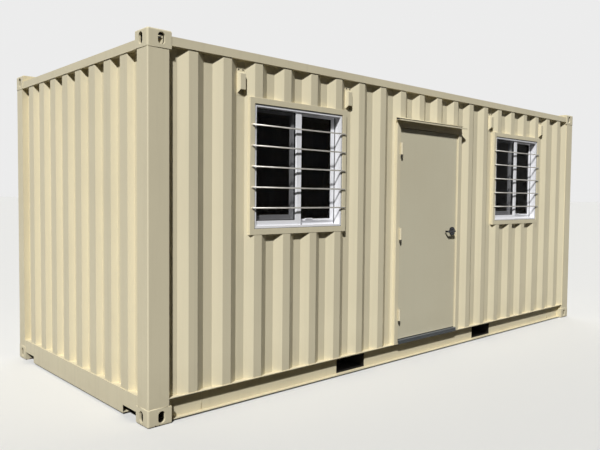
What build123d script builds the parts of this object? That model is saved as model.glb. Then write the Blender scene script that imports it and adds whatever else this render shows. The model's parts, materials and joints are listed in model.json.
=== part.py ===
from build123d import *

import os

# Shipping container cabin: a 20 ft steel container with a door and two barred windows.
#
# X runs along the container, Y across it, Z up. The door and the windows are in the
# front wall, at -Y. The plain end wall is at -X and the cargo doors are at +X. The origin
# is on the ground, midway between the four bottom corner castings.

# Envelope of the container
length = 6058.0
width = 2438.0
height = 2591.0

# Corner castings
casting_length = 178.0
casting_width = 162.0
casting_height = 118.0
casting_wall = 28.5
casting_inner_wall = 11.0
casting_edge_radius = 14.0
twist_slot_length = 124.0
twist_slot_width = 63.5
twist_slot_from_end = 102.5
twist_slot_from_side = 89.5
lashing_hole_height = 80.0
lashing_hole_width = 51.0
lashing_hole_level = 58.0

# Steel frame
post_inset = 3.0
post_side = 160.0
post_end = 142.0
post_lip = 60.0
post_steel = 6.0
post_bend_radius = 9.0
rail_inset = 4.0
tube = 60.0
tube_wall = 3.0
side_rail_drop = 33.0
end_rail_drop = 58.0
bottom_rail_base = 12.0
bottom_rail_top = 170.0
bottom_rail_flange = 60.0
bottom_rail_lip = 40.0
bottom_rail_steel = 4.5
end_sill_base = 15.0
end_sill_top = 183.0
end_sill_depth = 60.0
end_sill_steel = 4.0
end_sill_notch_length = 200.0
end_sill_notch_height = 57.0

# Corrugated side walls
wall_inset = 10.0
wall_sheet = 2.0
ridge_flat = 72.0
ridge_slope = 68.0
ridge_depth = 36.0
ridge_pitch = 281.0
first_ridge = 350.0

# Corrugated end wall
end_ridge_flat = 104.0
end_ridge_slope = 18.0
end_ridge_depth = 45.6
end_ridge_pitch = 250.0

# Pressed roof sheet
roof_sheet = 2.0
roof_rib_height = 20.0
roof_rib_width = 120.0
roof_rib_pitch = 209.0
roof_rib_margin = 110.0
roof_rib_taper = 40.0
roof_edge = 20.0
roof_plate = 4.0

# Floor and its cross members
floor_thickness = 28.0
member_height = 122.0
member_flange = 45.0
member_steel = 4.0
members_per_bay = 5
pocket_width = 355.0
pocket_height = 118.0
pocket_centres = 2080.0
pocket_floor_plate = 200.0
pocket_floor_steel = 4.0

# Windows, each in a welded steel surround: a fixed light on the left, a sliding sash behind it
window_left_x = -1689.0
window_right_x = 1659.0
window_head_drop = 253.0
window_opening_width = 926.0
window_opening_height = 920.0
surround_face = 44.0
surround_depth = 60.0
surround_wall = 3.0
surround_inset = 8.0
casing_face = 20.0
casing_recess = 8.0
casing_back_leg = 3.0
casing_gap = 0.3
mullion_width = 60.0
mullion_offset = -14.0
fixed_setback = 11.0
fixed_face = 6.0
fixed_bottom_face = 38.0
sash_setback = 66.0
sash_face = 45.0
sash_rail = 43.0
sash_head = 18.0
sash_depth = 22.0
sash_lap = 1.0
track_filler_height = 80.0
track_filler_head = 26.0
track_filler_gap = 3.0
glass_thickness = 5.0

# Ventilator hoods
vent_plate_width = 66.0
vent_plate_height = 208.0
vent_plate_drop = 40.0
vent_plate_steel = 2.0
vent_hood_back_width = 62.0
vent_hood_front_width = 44.0
vent_hood_depth = 30.0
vent_hood_drop = 40.0
vent_hood_slope = 16.0
vent_hood_front_rise = 40.0
vent_hood_back_rise = 14.0
vent_hood_sheet = 1.5

# Personnel door
door_x = 0.0
leaf_width = 915.0
door_head_drop = 271.0
leaf_thickness = 44.0
leaf_skin = 1.5
leaf_gap = 7.0
leaf_setback = 16.0
frame_inset = 4.0
frame_face = 50.0
frame_head = 60.0
frame_depth = 75.0
frame_wall = 3.0
stop_width = 16.0
stop_thickness = 4.0
threshold_height = 33.0
threshold_steel = 3.0
threshold_projection = 8.0
threshold_drop = 5.0
stop_gap = 1.0
cap_projection = 58.0
cap_steel = 3.0
cap_lip = 12.0
cap_overhang = 20.0
head_bar_projection = 8.0
head_bar_rise = 17.0
head_bar_thickness = 3.0

# Door hinges, with their knuckles outside
hinge_height = 108.0
hinge_knuckle_radius = 11.0
hinge_pin_radius = 6.0
hinge_pin_fit = 0.1
hinge_knuckle_gap = 0.4
hinge_plate = 2.5
hinge_plate_width = 34.0
hinge_pin_tail = 12.0
hinge_top_from_leaf_top = 190.0
hinge_bottom_from_leaf_bottom = 230.0

# Lever handle and its roses
handle_level = 1190.0
handle_backset = 66.0
rose_radius = 42.0
rose_thickness = 12.0
rose_hub_radius = 17.0
rose_hub_length = 8.0
spindle_radius = 6.0
spindle_fit = 0.3
lever_radius = 9.5
lever_length = 118.0
lever_stand_off = 34.0
lever_return = 32.0
lever_bend_radius = 12.6
lever_hub_gap = 1.0
lock_face_height = 150.0
lock_face_width = 24.0
lock_face_thickness = 1.5

# Cargo doors at the far end
cargo_post_end = 50.0
cargo_post_lip = 112.0
cargo_sill_top = 170.0
cargo_header_height = 108.0
cargo_door_inset = 47.0
cargo_frame = 60.0
cargo_frame_wall = 3.0
cargo_door_gap = 8.0
cargo_ridge_pitch = 324.0
cargo_ridge_flat = 150.0
cargo_ridge_slope = 20.0
cargo_ridge_depth = 36.0
cargo_panel_sheet = 2.0
cargo_hinge_count = 4
cargo_hinge_margin = 90.0
cargo_hinge_height = 90.0
cargo_hinge_radius = 11.0
cargo_hinge_plate = 8.0
cargo_hinge_reach = 95.0
cargo_hinge_lug = 16.0
cargo_hinge_gap = 1.0
cargo_hinge_seat = 0.3
cargo_pin_radius = 6.0
cargo_pin_fit = 0.2
cargo_rod_radius = 17.0
cargo_rod_wall = 3.2
cargo_rod_stand_off = 8.0
cargo_guide_width = 70.0
cargo_guide_height = 40.0
cargo_guide_steel = 5.0
cargo_guide_fit = 0.3
cargo_guide_count = 4
cargo_cam_height = 40.0
cargo_cam_width = 52.0
cargo_cam_reach = 70.0
cargo_keeper_steel = 8.0
cargo_keeper_height = 56.0
cargo_keeper_gap = 0.3
cargo_handle_over_guide = 96.0
cargo_handle_thickness = 14.0
cargo_handle_height = 22.0
cargo_hub_wall = 5.0
cargo_catch_width = 60.0
cargo_catch_height = 48.0
cargo_catch_gap = 0.3

# Levels and planes that follow from the sizes above
half_length = length / 2
half_width = width / 2
post_base = casting_height
post_top = height - casting_height
side_rail_top = height - side_rail_drop
end_rail_top = height - end_rail_drop
cargo_header_bottom = side_rail_top - cargo_header_height
side_wall_start = -half_length + post_side
side_wall_end = half_length - post_side
side_wall_base = bottom_rail_top
side_wall_top = side_rail_top - tube
end_rail_base = end_rail_top - tube
rail_web = half_width - rail_inset - bottom_rail_flange
inner_flat = half_width - wall_inset - ridge_depth
floor_top = bottom_rail_top
floor_base = floor_top - floor_thickness
member_base = floor_base - member_height
surround_width = window_opening_width + 2 * surround_face
surround_top = side_wall_top - window_head_drop
surround_base = surround_top - window_opening_height - 2 * surround_face
surround_front = -half_width + surround_inset
casing_front = surround_front + casing_recess
casing_depth = sash_setback + sash_depth + casing_back_leg
fixed_front = casing_front + fixed_setback
sash_front = casing_front + sash_setback
leaf_base = bottom_rail_top + threshold_height + leaf_gap
header_top = side_wall_top - door_head_drop
header_base = header_top - frame_head
leaf_top = header_base - leaf_gap
leaf_height = leaf_top - leaf_base
frame_front = -half_width + frame_inset
leaf_front = frame_front + leaf_setback
doorway_half = leaf_width / 2 + leaf_gap
frame_half = doorway_half + frame_face
vent_plate_top = side_wall_top - vent_plate_drop
vent_plate_bottom = vent_plate_top - vent_plate_height
vent_hood_top = vent_plate_top - vent_hood_drop
vent_hood_shoulder = vent_hood_top - vent_hood_slope
vent_hood_front_bottom = vent_plate_bottom + vent_hood_front_rise
vent_hood_back_bottom = vent_plate_bottom + vent_hood_back_rise
window_centres = (window_left_x, window_right_x)
os.makedirs("parts", exist_ok=True)


def write(sub_part, name):
    """Label a finished sub-part and write its STEP file."""
    sub_part.part.label = name
    export_step(sub_part.part, f"parts/{name}.step")


def fold_outline(start, end, ridges, flat, slope, depth):
    """Plan points of a corrugated sheet: distance along it and how far it is set back."""
    folds = {start, end}
    for ridge in ridges:
        for side in (-1, 1):
            folds.add(ridge + side * flat / 2)
            folds.add(ridge + side * (flat / 2 + slope))
    points = []
    for place in sorted(fold for fold in folds if start <= fold <= end):
        from_ridge = min(abs(place - ridge) for ridge in ridges) - flat / 2
        points.append((place, depth * min(max(from_ridge / slope, 0.0), 1.0)))
    return points


def sheet_face(points, thickness):
    """Close a fold line into the section of a sheet of one thickness."""
    side = Side.LEFT if thickness > 0 else Side.RIGHT
    with BuildLine() as section:
        Polyline(*points)
        offset(amount=abs(thickness), side=side, kind=Kind.INTERSECTION)
    make_face(section.edges())


ridge_count = int((length - first_ridge - post_side) // ridge_pitch) + 1
end_ridge_count = int(2 * (half_width - post_end) // end_ridge_pitch)
roof_rib_count = int((length - 2 * casting_length) // roof_rib_pitch)
side_ridges = [-half_length + first_ridge + ridge_pitch * n for n in range(ridge_count)]
closing_ridge = side_wall_end + ridge_flat / 2
side_ridges.append(closing_ridge)
end_ridges = [end_ridge_pitch * (n - (end_ridge_count - 1) / 2) for n in range(end_ridge_count)]


def front_sheet(start, end):
    """Section of the front wall between two places along it."""
    outline = fold_outline(
        start - ridge_depth,
        end + ridge_depth,
        side_ridges,
        ridge_flat,
        ridge_slope,
        ridge_depth,
    )
    face = -half_width + wall_inset
    sheet_face([(x, face + set_back) for x, set_back in outline], wall_sheet)
    with Locations(((start + end) / 2, face)):
        Rectangle(end - start, 4 * ridge_depth, mode=Mode.INTERSECT)


def clear_castings(base):
    """Cut a piece back round the castings of the bottom or the top frame."""
    with Locations((0, 0, base)):
        with GridLocations(length, width, 2, 2):
            Box(
                2 * casting_length,
                2 * casting_width,
                casting_height,
                align=(Align.CENTER, Align.CENTER, Align.MIN),
                mode=Mode.SUBTRACT,
            )


# Corner castings, hollow, with a slot below and a lashing hole on each outer face
with BuildPart() as casting:
    casting_x = -half_length + casting_length / 2
    casting_y = -half_width + casting_width / 2
    slot_x = -half_length + twist_slot_from_end
    slot_y = -half_width + twist_slot_from_side
    with BuildSketch():
        with Locations((casting_x, casting_y)):
            Rectangle(casting_length, casting_width)
    extrude(amount=casting_height)
    upright_edges = casting.edges().filter_by(Axis.Z)
    corner_edge = upright_edges.sort_by(lambda edge: edge.center().X + edge.center().Y)[0]
    fillet(corner_edge, casting_edge_radius)
    with BuildSketch(Plane.XY.offset(casting_wall)):
        with Locations((-half_length + casting_wall, -half_width + casting_wall)):
            Rectangle(
                casting_length - casting_wall - casting_inner_wall,
                casting_width - casting_wall - casting_inner_wall,
                align=(Align.MIN, Align.MIN),
            )
    extrude(amount=casting_height - 2 * casting_wall, mode=Mode.SUBTRACT)
    with BuildSketch():
        with Locations((slot_x, slot_y)):
            SlotOverall(twist_slot_length, twist_slot_width)
    extrude(amount=casting_wall, mode=Mode.SUBTRACT)
    side_face = Plane(origin=(slot_x, -half_width, lashing_hole_level), x_dir=(1, 0, 0), z_dir=(0, -1, 0))
    end_face = Plane(origin=(-half_length, slot_y, lashing_hole_level), x_dir=(0, 1, 0), z_dir=(-1, 0, 0))
    for hole_face in (side_face, end_face):
        with BuildSketch(hole_face):
            SlotOverall(lashing_hole_height, lashing_hole_width, rotation=90)
        extrude(amount=-casting_wall, mode=Mode.SUBTRACT)

with BuildPart() as bottom_corner_castings:
    add(casting.part)
    mirror(about=Plane.YZ)
    mirror(about=Plane.XZ)
write(bottom_corner_castings, "bottom_corner_castings")

with BuildPart() as top_corner_castings:
    add(mirror(bottom_corner_castings.part, about=Plane.XY.offset(height / 2), mode=Mode.PRIVATE))
write(top_corner_castings, "top_corner_castings")

# Corner posts, pressed from plate, with a lip on each side that the walls are welded to
with BuildPart() as left_end_posts:
    with BuildSketch(Plane.XY.offset(post_base)):
        edge_x = -half_length + post_inset
        edge_y = -half_width + post_inset
        sheet_face(
            [
                (edge_x + post_lip, -half_width + post_end),
                (edge_x, -half_width + post_end),
                (edge_x, edge_y),
                (side_wall_start, edge_y),
                (side_wall_start, edge_y + post_lip),
            ],
            post_steel,
        )
    extrude(amount=post_top - post_base)
    folds = left_end_posts.edges().filter_by(Axis.Z)
    bend = folds.sort_by(lambda edge: edge.center().X + edge.center().Y)[0]
    fillet(bend, post_bend_radius)
    mirror(about=Plane.XZ)
write(left_end_posts, "left_end_posts")

with BuildPart() as right_end_posts:
    with BuildSketch(Plane.XY.offset(post_base)):
        edge_x = half_length - post_inset
        edge_y = -half_width + post_inset
        sheet_face(
            [
                (side_wall_end, edge_y + post_lip),
                (side_wall_end, edge_y),
                (edge_x, edge_y),
                (edge_x, -half_width + cargo_post_end),
                (edge_x - cargo_post_lip, -half_width + cargo_post_end),
            ],
            post_steel,
        )
    extrude(amount=post_top - post_base)
    folds = right_end_posts.edges().filter_by(Axis.Z)
    bend = folds.sort_by(lambda edge: edge.center().Y - edge.center().X)[0]
    fillet(bend, post_bend_radius)
    mirror(about=Plane.XZ)
write(right_end_posts, "right_end_posts")

# Bottom side rails, channels that open outwards, cut for the fork pockets
pocket_places = (-pocket_centres / 2, pocket_centres / 2)
pocket_base = member_base
pocket_top = pocket_base + pocket_height
with BuildPart() as front_bottom_rail:
    with BuildSketch(Plane.YZ.offset(side_wall_start)):
        face = -half_width + rail_inset
        sheet_face(
            [
                (face, bottom_rail_top),
                (-rail_web, bottom_rail_top),
                (-rail_web, bottom_rail_base),
                (-rail_web - bottom_rail_lip, bottom_rail_base),
            ],
            -bottom_rail_steel,
        )
    extrude(amount=side_wall_end - side_wall_start)
    clear_castings(0)
    for pocket_x in pocket_places:
        with Locations((pocket_x, -rail_web, (pocket_base + pocket_top) / 2)):
            Box(pocket_width, 4 * bottom_rail_steel, pocket_height, mode=Mode.SUBTRACT)
write(front_bottom_rail, "front_bottom_rail")

with BuildPart() as back_bottom_rail:
    add(mirror(front_bottom_rail.part, about=Plane.XZ, mode=Mode.PRIVATE))
write(back_bottom_rail, "back_bottom_rail")

# Bottom rail of the plain end, a channel that opens inwards, with a notch at each casting
with BuildPart() as left_bottom_rail:
    sill_half = half_width - post_end
    notch_half = half_width - casting_width
    sill_face = -half_length + rail_inset
    with BuildSketch(Plane.XZ.offset(-sill_half)):
        sheet_face(
            [
                (sill_face + end_sill_depth, end_sill_top),
                (sill_face, end_sill_top),
                (sill_face, end_sill_base),
                (sill_face + end_sill_depth, end_sill_base),
            ],
            end_sill_steel,
        )
    extrude(amount=2 * sill_half)
    clear_castings(0)
    for side in (-1, 1):
        with Locations((-half_length, side * (notch_half - end_sill_notch_length / 2), 0)):
            Box(
                2 * casting_length,
                end_sill_notch_length,
                end_sill_base + end_sill_notch_height,
                align=(Align.CENTER, Align.CENTER, Align.MIN),
                mode=Mode.SUBTRACT,
            )
write(left_bottom_rail, "left_bottom_rail")

# Top rails, square tubes between the castings
with BuildPart() as top_side_rails:
    with BuildSketch(Plane.YZ.offset(-half_length + casting_length)):
        with Locations((-half_width + rail_inset + tube / 2, side_rail_top - tube / 2)):
            Rectangle(tube, tube)
            Rectangle(tube - 2 * tube_wall, tube - 2 * tube_wall, mode=Mode.SUBTRACT)
    extrude(amount=length - 2 * casting_length)
    mirror(about=Plane.XZ)
write(top_side_rails, "top_side_rails")

with BuildPart() as left_top_rail:
    rail_half = half_width - casting_width
    rail_back = -half_length + rail_inset + tube
    with BuildSketch(Plane.XZ.offset(-rail_half)):
        with Locations((rail_back - tube / 2, end_rail_top - tube / 2)):
            Rectangle(tube, tube)
            Rectangle(tube - 2 * tube_wall, tube - 2 * tube_wall, mode=Mode.SUBTRACT)
        with Locations((rail_back - tube_wall / 2, (end_rail_top + side_rail_top) / 2)):
            Rectangle(tube_wall, side_rail_top - end_rail_top)
    extrude(amount=2 * rail_half)
write(left_top_rail, "left_top_rail")

# Header and sill of the cargo doors, flush with the face of the leaves
cargo_half = half_width - cargo_post_end
cargo_face = half_length - cargo_door_inset
with BuildPart() as cargo_door_header:
    with BuildSketch(Plane.XZ.offset(-cargo_half)):
        with Locations((cargo_face - tube / 2, cargo_header_bottom + cargo_header_height / 2)):
            Rectangle(tube, cargo_header_height)
            Rectangle(tube - 2 * tube_wall, cargo_header_height - 2 * tube_wall, mode=Mode.SUBTRACT)
    extrude(amount=2 * cargo_half)
    clear_castings(post_top)
write(cargo_door_header, "cargo_door_header")

with BuildPart() as cargo_door_sill:
    with BuildSketch(Plane.XZ.offset(-cargo_half)):
        sheet_face(
            [
                (cargo_face - end_sill_depth, end_sill_base),
                (cargo_face, end_sill_base),
                (cargo_face, cargo_sill_top),
                (cargo_face - end_sill_depth, cargo_sill_top),
            ],
            end_sill_steel,
        )
    extrude(amount=2 * cargo_half)
    clear_castings(0)
write(cargo_door_sill, "cargo_door_sill")

# Cross members below the floor, channels between the webs of the side rails
member_half = rail_web - bottom_rail_steel
pocket_side = pocket_width / 2 + member_steel
bay_ends = (
    (-half_length + rail_inset + end_sill_depth, pocket_places[0] - pocket_side),
    (pocket_places[0] + pocket_side, pocket_places[1] - pocket_side),
    (pocket_places[1] + pocket_side, cargo_face - end_sill_depth),
)
with BuildPart() as floor_cross_members:
    for bay_start, bay_end in bay_ends:
        spacing = (bay_end - bay_start) / (members_per_bay + 1)
        for n in range(members_per_bay):
            member_x = bay_start + spacing * (n + 1) - member_flange / 2
            with BuildSketch(Plane.XZ.offset(-member_half)):
                sheet_face(
                    [
                        (member_x + member_flange, floor_base),
                        (member_x, floor_base),
                        (member_x, member_base),
                        (member_x + member_flange, member_base),
                    ],
                    member_steel,
                )
            extrude(amount=2 * member_half)
write(floor_cross_members, "floor_cross_members")

# Fork pockets, tunnels from side to side with a floor plate at each mouth
with BuildPart() as fork_pockets:
    for pocket_x in pocket_places:
        with BuildSketch(Plane.XZ.offset(-member_half)):
            sheet_face(
                [
                    (pocket_x - pocket_width / 2, pocket_base),
                    (pocket_x - pocket_width / 2, pocket_top),
                    (pocket_x + pocket_width / 2, pocket_top),
                    (pocket_x + pocket_width / 2, pocket_base),
                ],
                member_steel,
            )
        extrude(amount=2 * member_half)
        for side in (-1, 1):
            plate_y = side * (member_half - pocket_floor_plate / 2)
            with Locations((pocket_x, plate_y, pocket_base - pocket_floor_steel / 2)):
                Box(pocket_width + 2 * member_steel, pocket_floor_plate, pocket_floor_steel)
write(fork_pockets, "fork_pockets")

# Plywood floor
with BuildPart() as floor:
    floor_start = -half_length + rail_inset + end_sill_depth
    floor_end = cargo_face - end_sill_depth
    with Locations(((floor_start + floor_end) / 2, 0, floor_base)):
        Box(
            floor_end - floor_start,
            2 * member_half,
            floor_thickness,
            align=(Align.CENTER, Align.CENTER, Align.MIN),
        )
write(floor, "floor")

# Roof sheet with pressed ribs, between the top castings
roof_half = half_length - casting_length
roof_width = width - 2 * (rail_inset + roof_edge)
rib_length = roof_width - 2 * roof_rib_margin
with BuildPart() as roof:
    with BuildSketch(Plane.XY.offset(side_rail_top)):
        Rectangle(2 * roof_half, roof_width)
    extrude(amount=roof_sheet)
    with BuildSketch(Plane.XY.offset(side_rail_top + roof_sheet)):
        with GridLocations(roof_rib_pitch, 1, roof_rib_count, 1):
            Rectangle(roof_rib_width, rib_length)
    extrude(amount=roof_rib_height, taper=roof_rib_taper)
    with BuildSketch(Plane.XY.offset(side_rail_top)):
        with GridLocations(roof_rib_pitch, 1, roof_rib_count, 1):
            Rectangle(roof_rib_width - roof_sheet, rib_length - roof_sheet)
    extrude(amount=roof_rib_height, taper=roof_rib_taper, mode=Mode.SUBTRACT)
write(roof, "roof")

# Plates that close the roof between the castings at each end
roof_plate_spans = ((rail_back - tube_wall, -roof_half), (roof_half, cargo_face))
with BuildPart() as roof_end_plates:
    for plate_start, plate_end in roof_plate_spans:
        with BuildSketch(Plane.XY.offset(side_rail_top)):
            with Locations(((plate_start + plate_end) / 2, 0)):
                Rectangle(plate_end - plate_start, 2 * rail_half)
        extrude(amount=roof_plate)
write(roof_end_plates, "roof_end_plates")

# Plain walls
with BuildPart() as left_end_wall:
    end_wall_half = half_width - post_end
    with BuildSketch(Plane.XY.offset(end_sill_top)):
        outline = fold_outline(
            -end_wall_half,
            end_wall_half,
            end_ridges,
            end_ridge_flat,
            end_ridge_slope,
            end_ridge_depth,
        )
        face = -half_length + wall_inset
        sheet_face([(face + set_back, y) for y, set_back in outline], -wall_sheet)
    extrude(amount=end_rail_base - end_sill_top)
write(left_end_wall, "left_end_wall")

with BuildPart() as back_wall:
    with BuildSketch(Plane.XY.offset(side_wall_base)):
        front_sheet(side_wall_start, side_wall_end)
        mirror(about=Plane.XZ, mode=Mode.REPLACE)
    extrude(amount=side_wall_top - side_wall_base)
    clear_castings(post_top)
write(back_wall, "back_wall")

# Front wall, cut round the windows and the door
front_piers = {
    "front_wall_left": (side_wall_start, window_left_x - surround_width / 2),
    "front_wall_left_of_door": (window_left_x + surround_width / 2, door_x - frame_half),
    "front_wall_right_of_door": (door_x + frame_half, window_right_x - surround_width / 2),
    "front_wall_right": (window_right_x + surround_width / 2, side_wall_end),
}
for name, (pier_start, pier_end) in front_piers.items():
    with BuildPart() as front_wall_pier:
        with BuildSketch(Plane.XY.offset(side_wall_base)):
            front_sheet(pier_start, pier_end)
        extrude(amount=side_wall_top - side_wall_base)
        clear_castings(post_top)
    write(front_wall_pier, name)

with BuildPart() as front_wall_under_windows:
    for window_x in window_centres:
        with BuildSketch(Plane.XY.offset(side_wall_base)):
            front_sheet(window_x - surround_width / 2, window_x + surround_width / 2)
        extrude(amount=surround_base - side_wall_base)
write(front_wall_under_windows, "front_wall_under_windows")

with BuildPart() as front_wall_over_windows:
    for window_x in window_centres:
        with BuildSketch(Plane.XY.offset(surround_top)):
            front_sheet(window_x - surround_width / 2, window_x + surround_width / 2)
        extrude(amount=side_wall_top - surround_top)
write(front_wall_over_windows, "front_wall_over_windows")

with BuildPart() as front_wall_over_door:
    with BuildSketch(Plane.XY.offset(header_top)):
        front_sheet(door_x - frame_half, door_x + frame_half)
    extrude(amount=side_wall_top - header_top)
write(front_wall_over_door, "front_wall_over_door")

# Window surrounds, welded from rectangular tube
with BuildPart() as window_surrounds:
    for window_x in window_centres:
        surround_middle = (window_x, surround_front, (surround_base + surround_top) / 2)
        with BuildSketch(Plane(origin=surround_middle, x_dir=(1, 0, 0), z_dir=(0, 1, 0))):
            Rectangle(surround_width, surround_top - surround_base)
            Rectangle(window_opening_width, window_opening_height, mode=Mode.SUBTRACT)
        extrude(amount=surround_depth)
        hollow_middle = (window_x, surround_front + surround_wall, (surround_base + surround_top) / 2)
        with BuildSketch(Plane(origin=hollow_middle, x_dir=(1, 0, 0), z_dir=(0, 1, 0))):
            Rectangle(surround_width - 2 * surround_wall, surround_top - surround_base - 2 * surround_wall)
            Rectangle(
                window_opening_width + 2 * surround_wall,
                window_opening_height + 2 * surround_wall,
                mode=Mode.SUBTRACT,
            )
        extrude(amount=surround_depth - surround_wall, mode=Mode.SUBTRACT)
write(window_surrounds, "window_surrounds")

# Window casings, with a filler over the part of the rear track that the sash doesn't reach
casing_half = window_opening_width / 2 - casing_gap
casing_height = window_opening_height - 2 * casing_gap
window_middle_level = (surround_base + surround_top) / 2
light_half = casing_half - casing_face
light_base = window_middle_level - casing_height / 2 + casing_face
light_top = window_middle_level + casing_height / 2 - casing_face
mullion_left = mullion_offset - mullion_width / 2
mullion_right = mullion_offset + mullion_width / 2
sash_left = mullion_left - sash_lap
with BuildPart() as window_casings:
    for window_x in window_centres:
        casing_middle = (window_x, casing_front, window_middle_level)
        with BuildSketch(Plane(origin=casing_middle, x_dir=(1, 0, 0), z_dir=(0, 1, 0))):
            Rectangle(2 * casing_half, casing_height)
            Rectangle(2 * light_half, light_top - light_base, mode=Mode.SUBTRACT)
        extrude(amount=casing_depth)
        filler_width = light_half + sash_left - track_filler_gap
        filler_x = window_x - light_half + filler_width / 2
        for filler_level, filler_height, side in (
            (light_base, track_filler_height, Align.MIN),
            (light_top, track_filler_head, Align.MAX),
        ):
            with Locations((filler_x, sash_front, filler_level)):
                Box(filler_width, sash_depth, filler_height, align=(Align.CENTER, Align.MIN, side))
write(window_casings, "window_casings")


def sash_frame(span, faces, front):
    """A sash in each window: where it starts and ends, its four members' faces and its front."""
    left, right = span
    left_face, right_face, bottom_face, top_face = faces
    for window_x in window_centres:
        sash_plane = Plane(origin=(window_x, front, 0), x_dir=(1, 0, 0), z_dir=(0, -1, 0))
        with BuildSketch(sash_plane) as sash:
            with Locations(((left + right) / 2, (light_base + light_top) / 2)):
                Rectangle(right - left, light_top - light_base)
            pane_x = (left + left_face + right - right_face) / 2
            pane_level = (light_base + bottom_face + light_top - top_face) / 2
            with Locations((pane_x, pane_level)):
                Rectangle(
                    right - left - left_face - right_face,
                    light_top - light_base - bottom_face - top_face,
                    mode=Mode.SUBTRACT,
                )
        extrude(sash.sketch, amount=-sash_depth)


fixed_span = (-light_half, mullion_right)
fixed_faces = (fixed_face, mullion_width, fixed_bottom_face, fixed_face)
sash_span = (sash_left, light_half)
sash_faces = (sash_face, sash_face, sash_rail, sash_head)
with BuildPart() as left_sashes:
    sash_frame(fixed_span, fixed_faces, fixed_front)
write(left_sashes, "left_sashes")

with BuildPart() as right_sashes:
    sash_frame(sash_span, sash_faces, sash_front)
write(right_sashes, "right_sashes")

with BuildPart() as window_glass:
    for window_x in window_centres:
        for span, faces, front in (
            (fixed_span, fixed_faces, fixed_front),
            (sash_span, sash_faces, sash_front),
        ):
            left, right = span
            left_face, right_face, bottom_face, top_face = faces
            with Locations((window_x + left + left_face, front + sash_depth / 2, light_base + bottom_face)):
                Box(
                    right - left - left_face - right_face,
                    glass_thickness,
                    light_top - light_base - bottom_face - top_face,
                    align=(Align.MIN, Align.CENTER, Align.MIN),
                )
write(window_glass, "window_glass")

# Ventilator hoods in the valleys beside the tops of the windows
vent_places = []
for window_x in window_centres:
    valleys = [ridge + ridge_pitch / 2 for ridge in side_ridges[: ridge_count - 1]]
    left_valleys = [x for x in valleys if x + vent_plate_width / 2 < window_x - surround_width / 2]
    right_valleys = [x for x in valleys if x - vent_plate_width / 2 > window_x + surround_width / 2]
    vent_places += [left_valleys[-1], right_valleys[0]]
with BuildPart() as vent_hoods:
    for vent_x in vent_places:
        plate_back = -inner_flat
        plate_front = plate_back - vent_plate_steel
        with Locations((vent_x, plate_back, vent_plate_bottom)):
            Box(
                vent_plate_width,
                vent_plate_steel,
                vent_plate_height,
                align=(Align.CENTER, Align.MAX, Align.MIN),
            )
        hood_back = Plane(origin=(vent_x, plate_front, 0), x_dir=(1, 0, 0), z_dir=(0, -1, 0))
        for shrink, mode in ((0, Mode.ADD), (vent_hood_sheet, Mode.SUBTRACT)):
            half_back = vent_hood_back_width / 2 - shrink
            half_front = vent_hood_front_width / 2 - shrink
            with BuildSketch(hood_back):
                with BuildLine():
                    Polyline(
                        (-half_back, vent_hood_back_bottom - shrink),
                        (half_back, vent_hood_back_bottom - shrink),
                        (half_back, vent_hood_top - shrink),
                        (-half_back, vent_hood_top - shrink),
                        close=True,
                    )
                make_face()
            with BuildSketch(hood_back.offset(vent_hood_depth - shrink)):
                with BuildLine():
                    Polyline(
                        (-half_front, vent_hood_front_bottom - shrink),
                        (half_front, vent_hood_front_bottom - shrink),
                        (half_front, vent_hood_shoulder - shrink),
                        (-half_front, vent_hood_shoulder - shrink),
                        close=True,
                    )
                make_face()
            loft(mode=mode)
write(vent_hoods, "vent_hoods")

# Door frame: two jambs, a header, stops behind the leaf and a threshold
with BuildPart() as door_jambs:
    for side in (-1, 1):
        jamb_x = door_x + side * (doorway_half + frame_face / 2)
        with BuildSketch(Plane.XY.offset(bottom_rail_top)):
            with Locations((jamb_x, frame_front + frame_depth / 2)):
                Rectangle(frame_face, frame_depth)
                Rectangle(frame_face - 2 * frame_wall, frame_depth - 2 * frame_wall, mode=Mode.SUBTRACT)
        extrude(amount=header_top - bottom_rail_top)
write(door_jambs, "door_jambs")

with BuildPart() as door_header:
    with BuildSketch(Plane.YZ.offset(door_x - doorway_half)):
        with Locations((frame_front + frame_depth / 2, (header_base + header_top) / 2)):
            Rectangle(frame_depth, frame_head)
            Rectangle(frame_depth - 2 * frame_wall, frame_head - 2 * frame_wall, mode=Mode.SUBTRACT)
    extrude(amount=2 * doorway_half)
write(door_header, "door_header")

stop_front = leaf_front + leaf_thickness + stop_gap
with BuildPart() as door_stops:
    for side in (-1, 1):
        with Locations((door_x + side * (doorway_half - stop_width / 2), stop_front, bottom_rail_top)):
            Box(
                stop_width,
                stop_thickness,
                header_base - bottom_rail_top,
                align=(Align.CENTER, Align.MIN, Align.MIN),
            )
    with Locations((door_x, stop_front, header_base)):
        Box(
            2 * doorway_half,
            stop_thickness,
            stop_width,
            align=(Align.CENTER, Align.MIN, Align.MAX),
        )
write(door_stops, "door_stops")

with BuildPart() as door_threshold:
    with BuildSketch(Plane.YZ.offset(door_x - doorway_half)):
        nose = frame_front - threshold_projection
        sheet_face(
            [
                (nose, bottom_rail_top - threshold_drop),
                (nose, bottom_rail_top + threshold_height),
                (stop_front, bottom_rail_top + threshold_height),
                (stop_front, bottom_rail_top),
            ],
            -threshold_steel,
        )
    extrude(amount=2 * doorway_half)
write(door_threshold, "door_threshold")

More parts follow.
